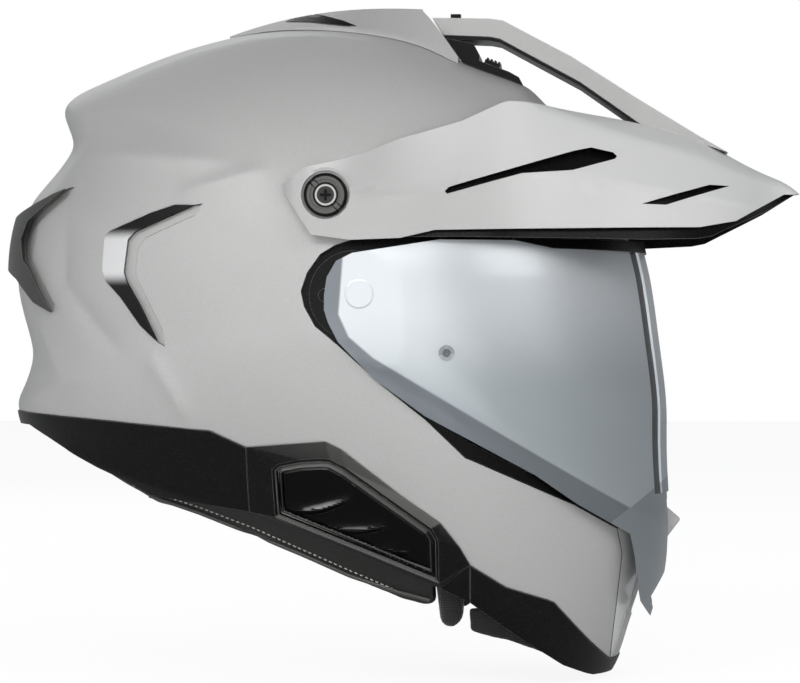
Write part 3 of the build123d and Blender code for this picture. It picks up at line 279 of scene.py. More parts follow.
def pressed(node, name, lines, paint_material, cell, spare):
    """A node's form with creases pressed into its sides, away from the middle by spare mm."""
    skin = copy_node(node, name)
    work = refined(skin.data, cell)
    for vertex in work.verts:
        x, y, z = vertex.co * 1000
        if abs(y) > spare:
            rise = crease_height(x, z, lines) * min(1, (abs(y) - spare) / 25)
            vertex.co += Vector((x - 20, 1.4 * y, z)).normalized() * rise / 1000
    work.to_mesh(skin.data)
    work.free()
    smooth(skin)
    skin.data.materials.append(paint_material)
    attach(skin, "helmet")
    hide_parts(node)


pressed("outer_shell", "shell_skin", creases, shell_paint, shell_cell, 25)
finish(shell_paint, "chin_centre", "top_vent_cover", "front_vent_scoop_right", "front_vent_scoop_left",
       "rear_vent_scoop_right", "rear_vent_scoop_left")

# Side vents: injection-moulded ABS blades clipped in front of the painted scoops, two on each side.
# The front blades are sprayed silver at their bend and fade to near black along their arms, and the
# rear blades are left in dark satin ABS, with a fine spark-eroded grain.
vent_bright = linear("#DCDCDC")
vent_dim = linear("#131312")
bend_low = (0.0055, 0.0125)
bend_high = (0.0335, 0.0275)
grain_size = 0.0008
silver, tree, shader = material("sprayed_satin_silver", Metallic=0.35, Roughness=0.3, Specular_IOR_Level=0.3)
place = put(tree, "ShaderNodeTexCoord").outputs["Object"]
parts = put(tree, "ShaderNodeSeparateXYZ", {0: place})
low, high = (put(tree, "ShaderNodeMapRange", {"Value": parts.outputs["Z"], "From Min": start,
                                              "From Max": stop}, interpolation_type="SMOOTHSTEP")
             for start, stop in (bend_low, bend_high))
both = put(tree, "ShaderNodeMath", {0: low.outputs["Result"], 1: high.outputs["Result"]},
           operation="MULTIPLY")
mix = put(tree, "ShaderNodeMix", {"Factor": both.outputs[0], 6: vent_dim, 7: vent_bright},
          data_type="RGBA")
tree.links.new(mix.outputs[2], shader.inputs["Base Color"])
finish(silver, "front_vent_blade_right", "front_vent_blade_left")


def grained(name, code, rough, depth, fleck, sheen, upward_highlight=None, highlight_lean=(-0.05, 0.25)):
    """Moulded ABS with a fine spark-eroded grain that breaks up its satin sheen.

    If a painted highlight colour is given, it lightens the faces whose upward lean passes the given range,
    standing in for the light from above; the rounded edges carry a painted highlight too.
    """
    made, tree, shader = material(name, Roughness=rough, Specular_IOR_Level=sheen)
    place = put(tree, "ShaderNodeTexCoord").outputs["Object"]
    grain = put(tree, "ShaderNodeTexNoise", {"Vector": place, "Scale": 1 / grain_size, "Detail": 2.0})
    peaks = put(tree, "ShaderNodeMapRange", {"Value": grain.outputs["Fac"], "From Min": 0.52,
                                             "From Max": 0.78})
    base = put(tree, "ShaderNodeMix", {"Factor": peaks.outputs["Result"], 6: linear(code),
                                       7: linear(fleck)}, data_type="RGBA")
    edge = put(tree, "ShaderNodeBevel", {"Radius": edge_round}, samples=4)
    # Painted highlight: faces leaning upwards are lightened towards the given colour.
    if upward_highlight:
        normal = put(tree, "ShaderNodeNewGeometry").outputs["Normal"]
        way = put(tree, "ShaderNodeSeparateXYZ", {0: normal})
        rise = put(tree, "ShaderNodeMapRange", {"Value": way.outputs["Z"], "From Min": highlight_lean[0],
                                                "From Max": highlight_lean[1]})
        base = put(tree, "ShaderNodeMix", {"Factor": rise.outputs["Result"], 6: base.outputs[2],
                                           7: linear(upward_highlight)}, data_type="RGBA")
    lit_edge = edge_light(tree, edge, base.outputs[2], "#9A9A98", 0.55)
    tree.links.new(lit_edge, shader.inputs["Base Color"])
    bump = put(tree, "ShaderNodeBump", {"Height": grain.outputs["Fac"], "Strength": 0.5,
                                        "Distance": depth, "Normal": edge.outputs["Normal"]})
    tree.links.new(bump.outputs["Normal"], shader.inputs["Normal"])
    uneven = put(tree, "ShaderNodeMapRange", {"Value": grain.outputs["Fac"], "To Min": rough - 0.12,
                                              "To Max": rough + 0.12})
    tree.links.new(uneven.outputs["Result"], shader.inputs["Roughness"])
    return made


finish(grained("dark_satin_abs", "#474745", 0.34, 0.00002, "#4E4E4C", 0.3),
       "rear_vent_blade_right", "rear_vent_blade_left")

# Top and brow vents: the crown's insert, the brow's base and its ribbed slider, moulded in gloss
# black ABS.
finish(grained("gloss_black_abs", "#030303", 0.22, 0.000004, "#060606", 0.15),
       "crown_vent_insert", "brow_vent_base", "brow_vent_slider")

# Lower trims: black ABS mouldings clipped over the shell's skirt, with a spark-eroded grain and a painted
# highlight that lightens their upper faces for the light from above. The chin inserts are gloss silver ABS
# beside them.
black_grain = grained("grained_black_abs", "#060606", 0.36, 0.00006, "#201F1D", 0.18, "#646461")
rear_lines = [([(-135, -68), (-115, -76), (-82, -88), (-42, -99)], 5.0, 1.6),
              ([(-110, -86), (-80, -98), (-42, -106)], 5.0, -0.8)]
trim_cell = 0.003
pressed("rear_lower_trim", "rear_trim_skin", rear_lines, black_grain, trim_cell, 15)
finish(black_grain, "chin_trim", "chin_vent_grille", "chin_vent_shutter")
silver_gloss, tree, shader = material("gloss_silver_abs", Base_Color=linear("#E4E4E2"), Metallic=0.25,
                                      Roughness=0.3, Coat_Weight=0.6, Coat_Roughness=0.08)
finish(silver_gloss, "chin_insert_right", "chin_insert_left")

# Side bezels and covers: each bezel is a grained black ABS ring that rises to a ridge, and it frames
# a cover whose lip has a crisp edge, round a gloss black basin with three moulded waves.
# The basin's waves carry a painted highlight: their upward-leaning faces are lightened towards a pale grey.
wave_black = grained("waved_gloss_black_abs", "#030303", 0.22, 0.000004, "#060606", 0.12, "#D2D2D0",
                     (0.05, 0.4))
panel_cell = 0.8
panel_wall = 1.2
bezel_outline = [(-31.7, -70.8), (6, -68), (13.2, -71.5), (41.3, -93.2), (60.2, -106.5),
                 (69.3, -118.4), (73.9, -126.6), (73.6, -145), (59.5, -138), (-19.5, -105.8),
                 (-31.5, -102)]
window_outline = [(-17.6, -103.3), (-18.3, -81.6), (-15.8, -79.7), (-6, -77.8), (3.5, -77.2),
                  (8.2, -77.5), (15.4, -81.3), (55.1, -109.6), (58, -114.7), (58, -133.6)]
wave_lines = [([(-14.6, -99.2), (-9, -100.6), (-3.4, -101), (3, -100.2), (9.2, -98.3),
                (20.5, -93.6)], 2.9),
              ([(2, -105), (7, -108), (12, -109.6), (18, -110.2), (24, -110), (38, -107)], 2.6),
              ([(25, -115), (30, -117.6), (35.5, -119.3), (41, -120), (48, -120.4)], 1.9)]
wave_above = 7.5
wave_below = 2.6


def inset(ring, gap):
    """A closed outline moved inwards by gap."""
    area = sum(a[0] * b[1] - b[0] * a[1] for a, b in zip(ring, ring[1:] + ring[:1]))
    hand = 1 if area > 0 else -1
    moved = []
    for before, here, after in zip(ring[-1:] + ring[:-1], ring, ring[1:] + ring[:1]):
        first = Vector((here[0] - before[0], here[1] - before[1])).normalized()
        last = Vector((after[0] - here[0], after[1] - here[1])).normalized()
        way = Vector((-first.y - last.y, first.x + last.x)).normalized() * hand
        reach = gap / max(0.35, way.dot(Vector((-first.y, first.x)) * hand))
        moved.append((here[0] + way.x * reach, here[1] + way.y * reach))
    return moved


def wave_height(x, z):
    """Height of the moulded waves: a long slope above each crest line and a short one below."""
    best = 0.0
    for points, height in wave_lines:
        if not points[0][0] < x < points[-1][0]:
            continue
        for start, stop in zip(points, points[1:]):
            if start[0] <= x <= stop[0]:
                share = (x - start[0]) / (stop[0] - start[0])
                line = start[1] + share * (stop[1] - start[1])
        along = (x - points[0][0]) / (points[-1][0] - points[0][0])
        gap = (z - line) / (wave_above if z > line else wave_below)
        if abs(gap) < 1:
            shape = (1 - gap) ** 2 if gap > 0 else 0.5 + 0.5 * math.cos(math.pi * gap)
            best = max(best, height * math.sin(math.pi * along) ** 0.6 * shape)
    return best


def outer_fit(node, hand):
    """A smooth surface y(x, z) in mm, of fourth degree, through the outer face of a CAD node."""
    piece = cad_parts[node]
    hull = BVHTree.FromObject(piece, bpy.context.evaluated_depsgraph_get())
    corners = [vertex.co * 1000 for vertex in piece.data.vertices]
    low_x, high_x = min(c.x for c in corners), max(c.x for c in corners)
    low_z, high_z = min(c.z for c in corners), max(c.z for c in corners)
    rows = []
    for x in np.arange(low_x + 1.3, high_x, 2.0):
        for z in np.arange(low_z + 1.3, high_z, 2.0):
            hit, normal, *rest = hull.ray_cast(Vector((x, hand * 300, z)) / 1000,
                                               Vector((0, -hand, 0)))
            if hit is not None and normal.y * hand > 0.5:
                rows.append((x, z, hit.y * 1000))
    rows = np.array(rows)
    middle = ((low_x + high_x) / 2, (low_z + high_z) / 2)
    powers = [(a, b) for a in range(5) for b in range(5 - a)]

    def row(x, z):
        return [((x - middle[0]) / 50) ** a * ((z - middle[1]) / 50) ** b for a, b in powers]

    chosen = np.ones(len(rows), bool)
    for rounds in range(4):
        terms = np.array([row(x, z) for x, z, y in rows[chosen]])
        fit, *rest = np.linalg.lstsq(terms, rows[chosen, 2], rcond=None)
        error = np.abs(np.array([row(x, z) for x, z, y in rows]) @ fit - rows[:, 2])
        chosen = error < max(0.25, 2.5 * error[chosen].std())
    return lambda x, z: float(np.dot(row(x, z), fit))


def panel(name, hand, level, rings, wavy, plastic):
    """A panel of nested outlines, each at its own height over a fitted surface, cut fine to curve."""
    work = bmesh.new()
    loops = []
    for ring, height in rings:
        corners = [work.verts.new((x / 1000, 0, z / 1000)) for x, z in ring]
        loops.append([work.edges.new((a, b)) for a, b in zip(corners, corners[1:] + corners[:1])])
    tone = work.verts.layers.float.new("height")
    for (ring, height), loop in zip(rings, loops):
        for edge in loop:
            for vertex in edge.verts:
                vertex[tone] = height
    for near, far in zip(loops, loops[1:]):
        bmesh.ops.triangle_fill(work, edges=near + far, use_beauty=True)
    if wavy:
        bmesh.ops.triangle_fill(work, edges=loops[-1], use_beauty=True)
    span = [point for ring, height in rings for point in ring]
    for axis, low, high in ((0, min(x for x, z in span), max(x for x, z in span)),
                            (2, min(z for x, z in span), max(z for x, z in span))):
        normal = Vector((axis == 0, 0, axis == 2))
        for spot in np.arange(low + panel_cell / 2, high, panel_cell):
            bmesh.ops.bisect_plane(work, geom=work.verts[:] + work.edges[:] + work.faces[:],
                                   plane_co=normal * spot / 1000, plane_no=normal, dist=0.000001)
    for vertex in work.verts:
        x, z = vertex.co.x * 1000, vertex.co.z * 1000
        rise = vertex[tone] + (wave_height(x, z) if wavy else 0)
        vertex.co.y = (level(x, z) + hand * rise) / 1000
    bmesh.ops.recalc_face_normals(work, faces=work.faces)
    facing = sum(face.normal.y * face.calc_area() for face in work.faces)
    if facing * hand < 0:
        bmesh.ops.reverse_faces(work, faces=work.faces)
    mesh = bpy.data.meshes.new(name)
    work.to_mesh(mesh)
    work.free()
    mesh.materials.append(plastic)
    piece = bpy.data.objects.new(name, mesh)
    scene.collection.objects.link(piece)
    wall = piece.modifiers.new("wall", "SOLIDIFY")
    wall.thickness = panel_wall / 1000
    wall.offset = -1
    smooth(piece, 16)
    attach(piece, "helmet")
    return piece


for side, hand in (("right", -1), ("left", 1)):
    level = outer_fit("side_bezel_" + side, hand)
    ring = panel("bezel_ring_" + side, hand, level,
                 [(bezel_outline, -1.2), (inset(window_outline, -1.2), 1.3), (window_outline, -0.4)],
                 False, black_grain)
    lip = panel("cover_lip_" + side, hand, level,
                [(inset(window_outline, 0.5), -2.6), (inset(window_outline, 2.6), -1.2),
                 (inset(window_outline, 3.1), -2.7)], False, black_grain)
    panel("cover_basin_" + side, hand, level,
          [(inset(window_outline, 2.9), -3.4), (inset(window_outline, 4.0), -2.9)], True, wave_black)
    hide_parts("side_bezel_" + side)
    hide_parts("side_cover_" + side)

# Eyeport frame, shield bases with their screws, and the small fittings: satin black ABS mouldings.
satin_black = grained("satin_black_abs", "#060606", 0.3, 0.00001, "#0A0A0A", 0.14)
finish(satin_black, "eyeport_frame", "shield_base_right", "shield_base_left", "shield_base_screws",
       "shield_top_band", "peak_liner", "peak_lock_tab", "sun_visor_lever", "breath_guard")

# Face shield: injection-moulded polycarbonate with a vacuum-deposited silver mirror on its outside,
# whose colour is painted darker from the top towards the nose as a painted reflection. Its pane stands
# a little proud of the rim and the nose lobes, which are painted darker as painted shade on their
# chamfer; a black strip painted beside its centre is painted shade by the centre pane's step, and a
# round boss shows at its pivot.
painted_reflection_top = linear("#CED2D5")
painted_reflection_low = linear("#ABB2B6")
painted_rim_shade = linear("#747A7F")
rim_line = [(26, 27), (15.2, 18.4), (13.2, -8), (18, -18.5), (29.5, -28.4), (150.6, -101)]
nose_line = ((141, -107), (161.8, -91.6))
pane_lift = 0.45
rim_fall = 5.0
strip_near, strip_far = 0.0345, 0.044
strip_back, strip_foot = 0.1, -0.095
pivot = (0.0228, 0, 0.0015)
boss_radius = 0.0066
shield_cell = 0.003


def beyond(start, stop):
    """Outward unit direction of a rim line in side view, and the line's place along it in mm."""
    dx, dz = stop[0] - start[0], stop[1] - start[1]
    run = math.hypot(dx, dz)
    return dz / run, -dx / run, (dz * start[0] - dx * start[1]) / run


shield_skin = copy_node("shield", "shield_skin")
work = refined(shield_skin.data, shield_cell)
rim_lines = [beyond(start, stop) for start, stop in zip(rim_line, rim_line[1:])]
for vertex in work.verts:
    x, y, z = vertex.co * 1000
    away = max(a * x + c * z - place for a, c, place in rim_lines)
    lift = pane_lift * max(0, min(1, 1 - away / rim_fall)) * max(0, min(1, (22 - z) / 12))
    vertex.co += Vector((x - 20, 1.4 * y, z)).normalized() * lift / 1000
work.to_mesh(shield_skin.data)
work.free()
mirror, tree, shader = material("silver_mirror_polycarbonate", Metallic=0.55, Roughness=0.36,
                                Coat_Weight=0.25, Coat_Roughness=0.06)
place = put(tree, "ShaderNodeTexCoord").outputs["Object"]
# Painted reflection: the mirror's colour darkens from the top towards the nose.
down = put(tree, "ShaderNodeVectorMath", {0: place, 1: (0.08, 0, -1)}, operation="DOT_PRODUCT")
ramp = put(tree, "ShaderNodeMapRange", {"Value": down.outputs["Value"], "From Min": 0.004,
                                        "From Max": 0.056}, interpolation_type="SMOOTHSTEP")
mix = put(tree, "ShaderNodeMix", {"Factor": ramp.outputs["Result"], 6: painted_reflection_top, 7: painted_reflection_low},
          data_type="RGBA")
# Painted shade: the rim band outside the rim lines and the nose lobes are darkened.
away = None
for a, c, line in rim_lines:
    along = put(tree, "ShaderNodeVectorMath", {0: place, 1: (a, 0, c)}, operation="DOT_PRODUCT")
    gap = put(tree, "ShaderNodeMath", {0: along.outputs["Value"], 1: line / 1000},
              operation="SUBTRACT").outputs[0]
    away = gap if away is None else put(tree, "ShaderNodeMath", {0: away, 1: gap},
                                        operation="MAXIMUM").outputs[0]
outside = put(tree, "ShaderNodeMapRange", {"Value": away, "From Min": -0.0004, "From Max": 0.0006})
a, c, line = beyond(*nose_line)
along = put(tree, "ShaderNodeVectorMath", {0: place, 1: (a, 0, c)}, operation="DOT_PRODUCT")
edge_at = line / 1000
nose = put(tree, "ShaderNodeMapRange", {"Value": along.outputs["Value"], "From Min": edge_at - 0.0003,
                                        "From Max": edge_at + 0.0003, "To Min": 0.0, "To Max": 0.7})
rimmed, nosed = (put(tree, "ShaderNodeMix", {"Factor": share.outputs["Result"], 6: mix.outputs[2],
                                             7: painted_rim_shade}, data_type="RGBA")
                 for share in (outside, nose))
in_nose = put(tree, "ShaderNodeMath", {0: nose.outputs["Result"], 1: 0.35}, operation="GREATER_THAN")
toned = put(tree, "ShaderNodeMix", {"Factor": in_nose.outputs[0], 6: rimmed.outputs[2],
                                    7: nosed.outputs[2]}, data_type="RGBA")
# Painted shade: a near-black strip beside the centre pane's step.
split = put(tree, "ShaderNodeSeparateXYZ", {0: place})
aside = put(tree, "ShaderNodeMath", {0: split.outputs["Y"]}, operation="ABSOLUTE")
strip = None
for value, limit, operation in ((aside.outputs[0], strip_near, "GREATER_THAN"),
                                (aside.outputs[0], strip_far, "LESS_THAN"),
                                (split.outputs["X"], strip_back, "GREATER_THAN"),
                                (split.outputs["Z"], strip_foot, "GREATER_THAN")):
    test = put(tree, "ShaderNodeMath", {0: value, 1: limit}, operation=operation).outputs[0]
    strip = test if strip is None else put(tree, "ShaderNodeMath", {0: strip, 1: test},
                                           operation="MULTIPLY").outputs[0]
base = put(tree, "ShaderNodeMix", {"Factor": strip, 6: toned.outputs[2], 7: linear("#060606")},
           data_type="RGBA")
tree.links.new(base.outputs[2], shader.inputs["Base Color"])


def axis_distance(tree, place, axis):
    """A point's flat offset from an axis that runs along Y, and how far it lies from it."""
    offset = put(tree, "ShaderNodeVectorMath", {0: place, 1: axis}, operation="SUBTRACT").outputs[0]
    flat = put(tree, "ShaderNodeVectorMath", {0: offset, 1: (1, 0, 1)}, operation="MULTIPLY").outputs[0]
    length = put(tree, "ShaderNodeVectorMath", {0: flat}, operation="LENGTH")
    return flat, length.outputs["Value"]


flat, radius = axis_distance(tree, place, pivot)
boss = put(tree, "ShaderNodeMapRange", {"Value": radius, "From Min": boss_radius + 0.0006,
                                        "From Max": boss_radius - 0.0006},
           interpolation_type="SMOOTHSTEP")
bump = put(tree, "ShaderNodeBump", {"Height": boss.outputs["Result"], "Strength": 0.6,
                                    "Distance": 0.0003})
tree.links.new(bump.outputs["Normal"], shader.inputs["Normal"])
shield_skin.data.materials.append(mirror)
smooth(shield_skin)
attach(shield_skin, "face_shield")
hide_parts("shield")

# Lenses: the fog lens and its pins are clear polycarbonate, and the sun visor on its two arms is
# smoke-tinted polycarbonate, both injection-moulded and hard-coated.
clear, tree, shader = material("clear_polycarbonate", Base_Color=linear("#DDE1E3"), Roughness=0.08,
                               IOR=1.58, Transmission_Weight=0.85)
finish(clear, "fog_lens", "lens_pins")
smoke, tree, shader = material("smoke_polycarbonate", Base_Color=linear("#3A3A3C"), Roughness=0.08,
                               IOR=1.58, Transmission_Weight=0.75)
finish(smoke, "sun_visor")

# Steel fittings: turned visor pins, strap rivets and bent wire rings, satin brushed.
brush_size = 0.0006
steel, tree, shader = material("satin_steel", Base_Color=linear("#B9BABC"), Metallic=1.0, Roughness=0.3)
place = put(tree, "ShaderNodeTexCoord").outputs["Object"]
brush = put(tree, "ShaderNodeTexNoise", {"Vector": place, "Scale": 1 / brush_size, "Detail": 1.0})
rub = put(tree, "ShaderNodeMapRange", {"Value": brush.outputs["Fac"], "To Min": 0.22, "To Max": 0.4})
tree.links.new(rub.outputs["Result"], shader.inputs["Roughness"])
finish(steel, "sun_visor_pins", "strap_rivets", "strap_rings")

# Peak: a thin injection moulding in metallic grey paint, painted lighter on the faces turned up and
# forward: a painted highlight of the light from above. It is held by two coin knobs and the lock tab.
finish(paint("metallic_basecoat_painted_highlight", "#B0B0AE", 0.9, "#ECECEA"), "peak")

# Bridge lining: a black ABS strip snapped in under the peak's bridge.
lining_path = [(50, 130.9), (57.5, 130.8), (80.5, 129.8), (85.5, 128.8), (125, 107.3), (155, 86.3),
               (166, 82)]
lining_half = 17.5
lining_wall = 1.8
lining_section = ((-1, 0), (1, 0), (1, lining_wall), (-1, lining_wall))
verts = [(x / 1000, hand * lining_half / 1000, (z - drop) / 1000)
         for x, z in lining_path for hand, drop in lining_section]
faces = [(4 * i + j, 4 * i + (j + 1) % 4, 4 * i + 4 + (j + 1) % 4, 4 * i + 4 + j)
         for i in range(len(lining_path) - 1) for j in range(4)]
faces += [(3, 2, 1, 0), tuple(4 * (len(lining_path) - 1) + j for j in range(4))]
lining_mesh = bpy.data.meshes.new("bridge_lining")
lining_mesh.from_pydata(verts, [], faces)
work = bmesh.new()
work.from_mesh(lining_mesh)
bmesh.ops.recalc_face_normals(work, faces=work.faces)
work.to_mesh(lining_mesh)
work.free()
lining_mesh.materials.append(satin_black)
lining = bpy.data.objects.new("bridge_lining", lining_mesh)
scene.collection.objects.link(lining)
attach(lining, "helmet")

# Coin knobs: turned aluminium, anodised gunmetal, each with a coin slot across its face and a cross-recess
# screw through its middle. Their colour is banded by radius: the screw's rim is painted lighter as a painted
# highlight, the cross recess is painted near black as painted shade, and the groove round the screw and
# the outer rim are coloured dark.
knob_place = (7.0, 48.0)
knob_reach = 12.5
# Radius in mm where each turned face starts, and its colour.
knob_faces = ((0, "#343433"), (4.0625, "#A8A8A5"), (5, "#0A0A0A"), (5.9375, "#565654"),
              (8.75, "#0B0B0B"), (9.875, "#3C3C3B"), (10.375, "#4A4A49"))
recess_half = 0.00065
recess_length = 0.0027
turning_size = 0.0005
gunmetal, tree, shader = material("anodised_gunmetal", Metallic=0.8, Roughness=0.25)
place = put(tree, "ShaderNodeTexCoord").outputs["Object"]
flat, radius = axis_distance(tree, place, (knob_place[0] / 1000, 0, knob_place[1] / 1000))
reach = put(tree, "ShaderNodeMath", {0: radius, 1: 1000 / knob_reach}, operation="MULTIPLY")
bands = put(tree, "ShaderNodeValToRGB", {"Fac": reach.outputs[0]})
bands.color_ramp.interpolation = "CONSTANT"
for at, code in knob_faces:
    stop = bands.color_ramp.elements.new(at / knob_reach) if at else bands.color_ramp.elements[0]
    stop.color = linear(code)
bands.color_ramp.elements.remove(bands.color_ramp.elements[-1])
# Painted shade: the cross recess is coloured near black.
either = put(tree, "ShaderNodeVectorMath", {0: flat}, operation="ABSOLUTE")
sides = put(tree, "ShaderNodeSeparateXYZ", {0: either.outputs[0]})
arm = put(tree, "ShaderNodeMath", {0: sides.outputs["X"], 1: sides.outputs["Z"]}, operation="MINIMUM")
thin = put(tree, "ShaderNodeMath", {0: arm.outputs[0], 1: recess_half}, operation="LESS_THAN")
short = put(tree, "ShaderNodeMath", {0: radius, 1: recess_length}, operation="LESS_THAN")
cross = put(tree, "ShaderNodeMath", {0: thin.outputs[0], 1: short.outputs[0]}, operation="MULTIPLY")
tone = put(tree, "ShaderNodeMix", {"Factor": cross.outputs[0], 6: bands.outputs["Color"],
                                   7: linear("#050505")}, data_type="RGBA")
tree.links.new(tone.outputs[2], shader.inputs["Base Color"])
turned = put(tree, "ShaderNodeTexNoise", {"Vector": place, "Scale": 1 / turning_size, "Detail": 1.0})
rub = put(tree, "ShaderNodeMapRange", {"Value": turned.outputs["Fac"], "To Min": 0.24, "To Max": 0.42})
tree.links.new(rub.outputs["Result"], shader.inputs["Roughness"])
finish(gunmetal, "peak_screw_right", "peak_screw_left")
knob_top = 121.6
knob_seat = 118.7
knob_rings = [3.1, 5.1, 5.2, 5.5, 5.9, 6.2, 6.3, 6.6, 7.0, 7.3, 7.4, 8.3, 9.1, 9.5, 9.8, 10.1, 10.3]
knob_steps = 120
slot_half = 1.25
slot_depth = 1.4
slot_turn = 0.785


def knob_level(radius, across, up):
    """Height in mm of the knob's face: a low middle, a groove, an eased rim and the coin slot."""
    level = knob_top
    if radius < 5.15:
        return level - 2.0
    if 6.25 < radius < 7.35:
        level -= 0.9
    elif radius > 9.5:
        level -= (radius - 9.5) * 0.9
    if abs(across * math.sin(slot_turn) + up * math.cos(slot_turn)) < slot_half:
        level = min(level, knob_top - slot_depth)
    return level


def turned_knob(side, hand):
    """A turned coin knob, as rings of points over its face and back to its seat."""
    work = bmesh.new()
    rings = []
    for radius, seated in [(radius, False) for radius in knob_rings] + [(knob_rings[-1], True),
                                                                        (knob_rings[0], True)]:
        ring = []
        for step in range(knob_steps):
            angle = 2 * math.pi * step / knob_steps
            across, up = math.cos(angle) * radius, math.sin(angle) * radius
            level = knob_seat if seated else knob_level(radius, across, up)
            ring.append(work.verts.new(((knob_place[0] + across) / 1000, hand * level / 1000,
                                        (knob_place[1] + up) / 1000)))
        rings.append(ring)
    for near, far in zip(rings, rings[1:] + rings[:1]):
        for k in range(knob_steps):
            m = (k + 1) % knob_steps
            work.faces.new((near[k], near[m], far[m], far[k]))
    bmesh.ops.recalc_face_normals(work, faces=work.faces)
    mesh = bpy.data.meshes.new("coin_knob_" + side)
    work.to_mesh(mesh)
    work.free()
    mesh.materials.append(gunmetal)
    piece = bpy.data.objects.new("coin_knob_" + side, mesh)
    scene.collection.objects.link(piece)
    smooth(piece, 25)
    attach(piece, "knob_" + side)
    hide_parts("peak_knob_" + side)


turned_knob("right", -1)
turned_knob("left", 1)

# Impact foam: expanded polystyrene, steam-moulded from beads whose outlines show on its skin.
bead_size = 0.0035
eps, tree, shader = material("expanded_polystyrene", Roughness=0.75)
place = put(tree, "ShaderNodeTexCoord").outputs["Object"]
bead = put(tree, "ShaderNodeTexVoronoi", {"Vector": place, "Scale": 1 / bead_size},
           feature="DISTANCE_TO_EDGE")
edge = put(tree, "ShaderNodeMapRange", {"Value": bead.outputs["Distance"], "From Max": 0.12})
mix = put(tree, "ShaderNodeMix", {"Factor": edge.outputs["Result"], 6: linear("#151515"),
                                  7: linear("#2B2B2C")}, data_type="RGBA")
tree.links.new(mix.outputs[2], shader.inputs["Base Color"])
bump = put(tree, "ShaderNodeBump", {"Height": edge.outputs["Result"], "Strength": 0.4,
                                    "Distance": 0.0002})
tree.links.new(bump.outputs["Normal"], shader.inputs["Normal"])
finish(eps, "foam_liner", "chin_foam")

# Padding: foam cushions covered in brushed polyester, and a padded chin curtain of the same cloth,
# all sewn and turned, so their rims are soft.
pile_size = 0.0012
pad_cell = 0.0025
curtain_cell = 0.0012


def cloth(name, code, size, rough=0.85, sheen=0.4):
    """Knitted or brushed cloth: fine rows of stitches with a soft sheen."""
    made, tree, shader = material(name, Base_Color=linear(code), Roughness=rough, Sheen_Weight=sheen,
                                  Sheen_Roughness=0.4)
    place = put(tree, "ShaderNodeTexCoord").outputs["Object"]
    rows = put(tree, "ShaderNodeTexWave", {"Vector": place, "Scale": 0.314 / size, "Distortion": 1.5,
                                           "Detail": 1.0}, bands_direction="Z")
    across = put(tree, "ShaderNodeTexWave", {"Vector": place, "Scale": 0.314 / size, "Distortion": 1.5,
                                             "Detail": 1.0}, bands_direction="X")
    knit = put(tree, "ShaderNodeMath", {0: rows.outputs["Fac"], 1: across.outputs["Fac"]}, operation="ADD")
    bump = put(tree, "ShaderNodeBump", {"Height": knit.outputs[0], "Strength": 0.5,
                                        "Distance": size / 6})
    tree.links.new(bump.outputs["Normal"], shader.inputs["Normal"])
    return made


def soft_copy(node, name, cell, swell, fabric, wrinkle, fold):
    """A CAD node's form as a stuffed piece: re-meshed, eased, swollen and lightly wrinkled."""
    piece = copy_node(node, name)
    remesh = piece.modifiers.new("cells", "REMESH")
    remesh.mode = "VOXEL"
    remesh.voxel_size = cell
    ease = piece.modifiers.new("ease", "SMOOTH")
    ease.factor = 0.5
    ease.iterations = 6
    depsgraph = bpy.context.evaluated_depsgraph_get()
    mesh = bpy.data.meshes.new_from_object(piece.evaluated_get(depsgraph))
    piece.modifiers.clear()
    piece.data = mesh
    mesh.name = name
    work = bmesh.new()
    work.from_mesh(mesh)
    work.normal_update()
    for vertex in work.verts:
        lift = (swell + wrinkle * noise.noise(vertex.co / fold)
                + wrinkle / 2 * noise.noise(vertex.co * 2.6 / fold))
        vertex.co += vertex.normal * lift
    work.to_mesh(mesh)
    work.free()
    mesh.shade_smooth()
    mesh.materials.clear()
    mesh.materials.append(fabric)
    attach(piece, "helmet")
    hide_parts(node)
    return piece


brushed = cloth("brushed_polyester", "#1A1A1B", pile_size)
for node, name in (("crown_pad", "crown_cushion"), ("cheek_pad_right", "cheek_cushion_right"),
                   ("cheek_pad_left", "cheek_cushion_left")):
    soft_copy(node, name, pad_cell, 0.0002, brushed, 0.0006, 0.03)
curtain = soft_copy("chin_curtain", "chin_curtain_cloth", curtain_cell, 0.0001, brushed,
                    0.0003, 0.012)

# Neck roll: foam covered in black pebbled leather, turned in at its rims.
leather_cell = 0.0016
roll_cell = 0.002
leather, tree, shader = material("black_leather", Base_Color=linear("#1E1C1A"), Roughness=0.42)
place = put(tree, "ShaderNodeTexCoord").outputs["Object"]
pebble = put(tree, "ShaderNodeTexVoronoi", {"Vector": place, "Scale": 1 / leather_cell})
bump = put(tree, "ShaderNodeBump", {"Height": pebble.outputs["Distance"], "Strength": 0.6,
                                    "Distance": 0.0003}, invert=True)
tree.links.new(bump.outputs["Normal"], shader.inputs["Normal"])
roll = soft_copy("neck_roll", "neck_roll_leather", roll_cell, 0.0001, leather,
                 0.0005, 0.025)

# Piping: a thin leather tube sewn in along the roll's lower edge, on both sides.
near_middle = 0.05
piping_lift = 0.0003
piping_steps = 8


def beside(hull, x, z, hand):
    """Where the hull's side lies at a point of the side view in mm, and its normal there."""
    hit, normal, *rest = hull.ray_cast(Vector((x / 1000, hand * 0.2, z / 1000)), Vector((0, -hand, 0)))
    if hit is None or hit.y * hand <= near_middle:
        return None
    return hit, normal


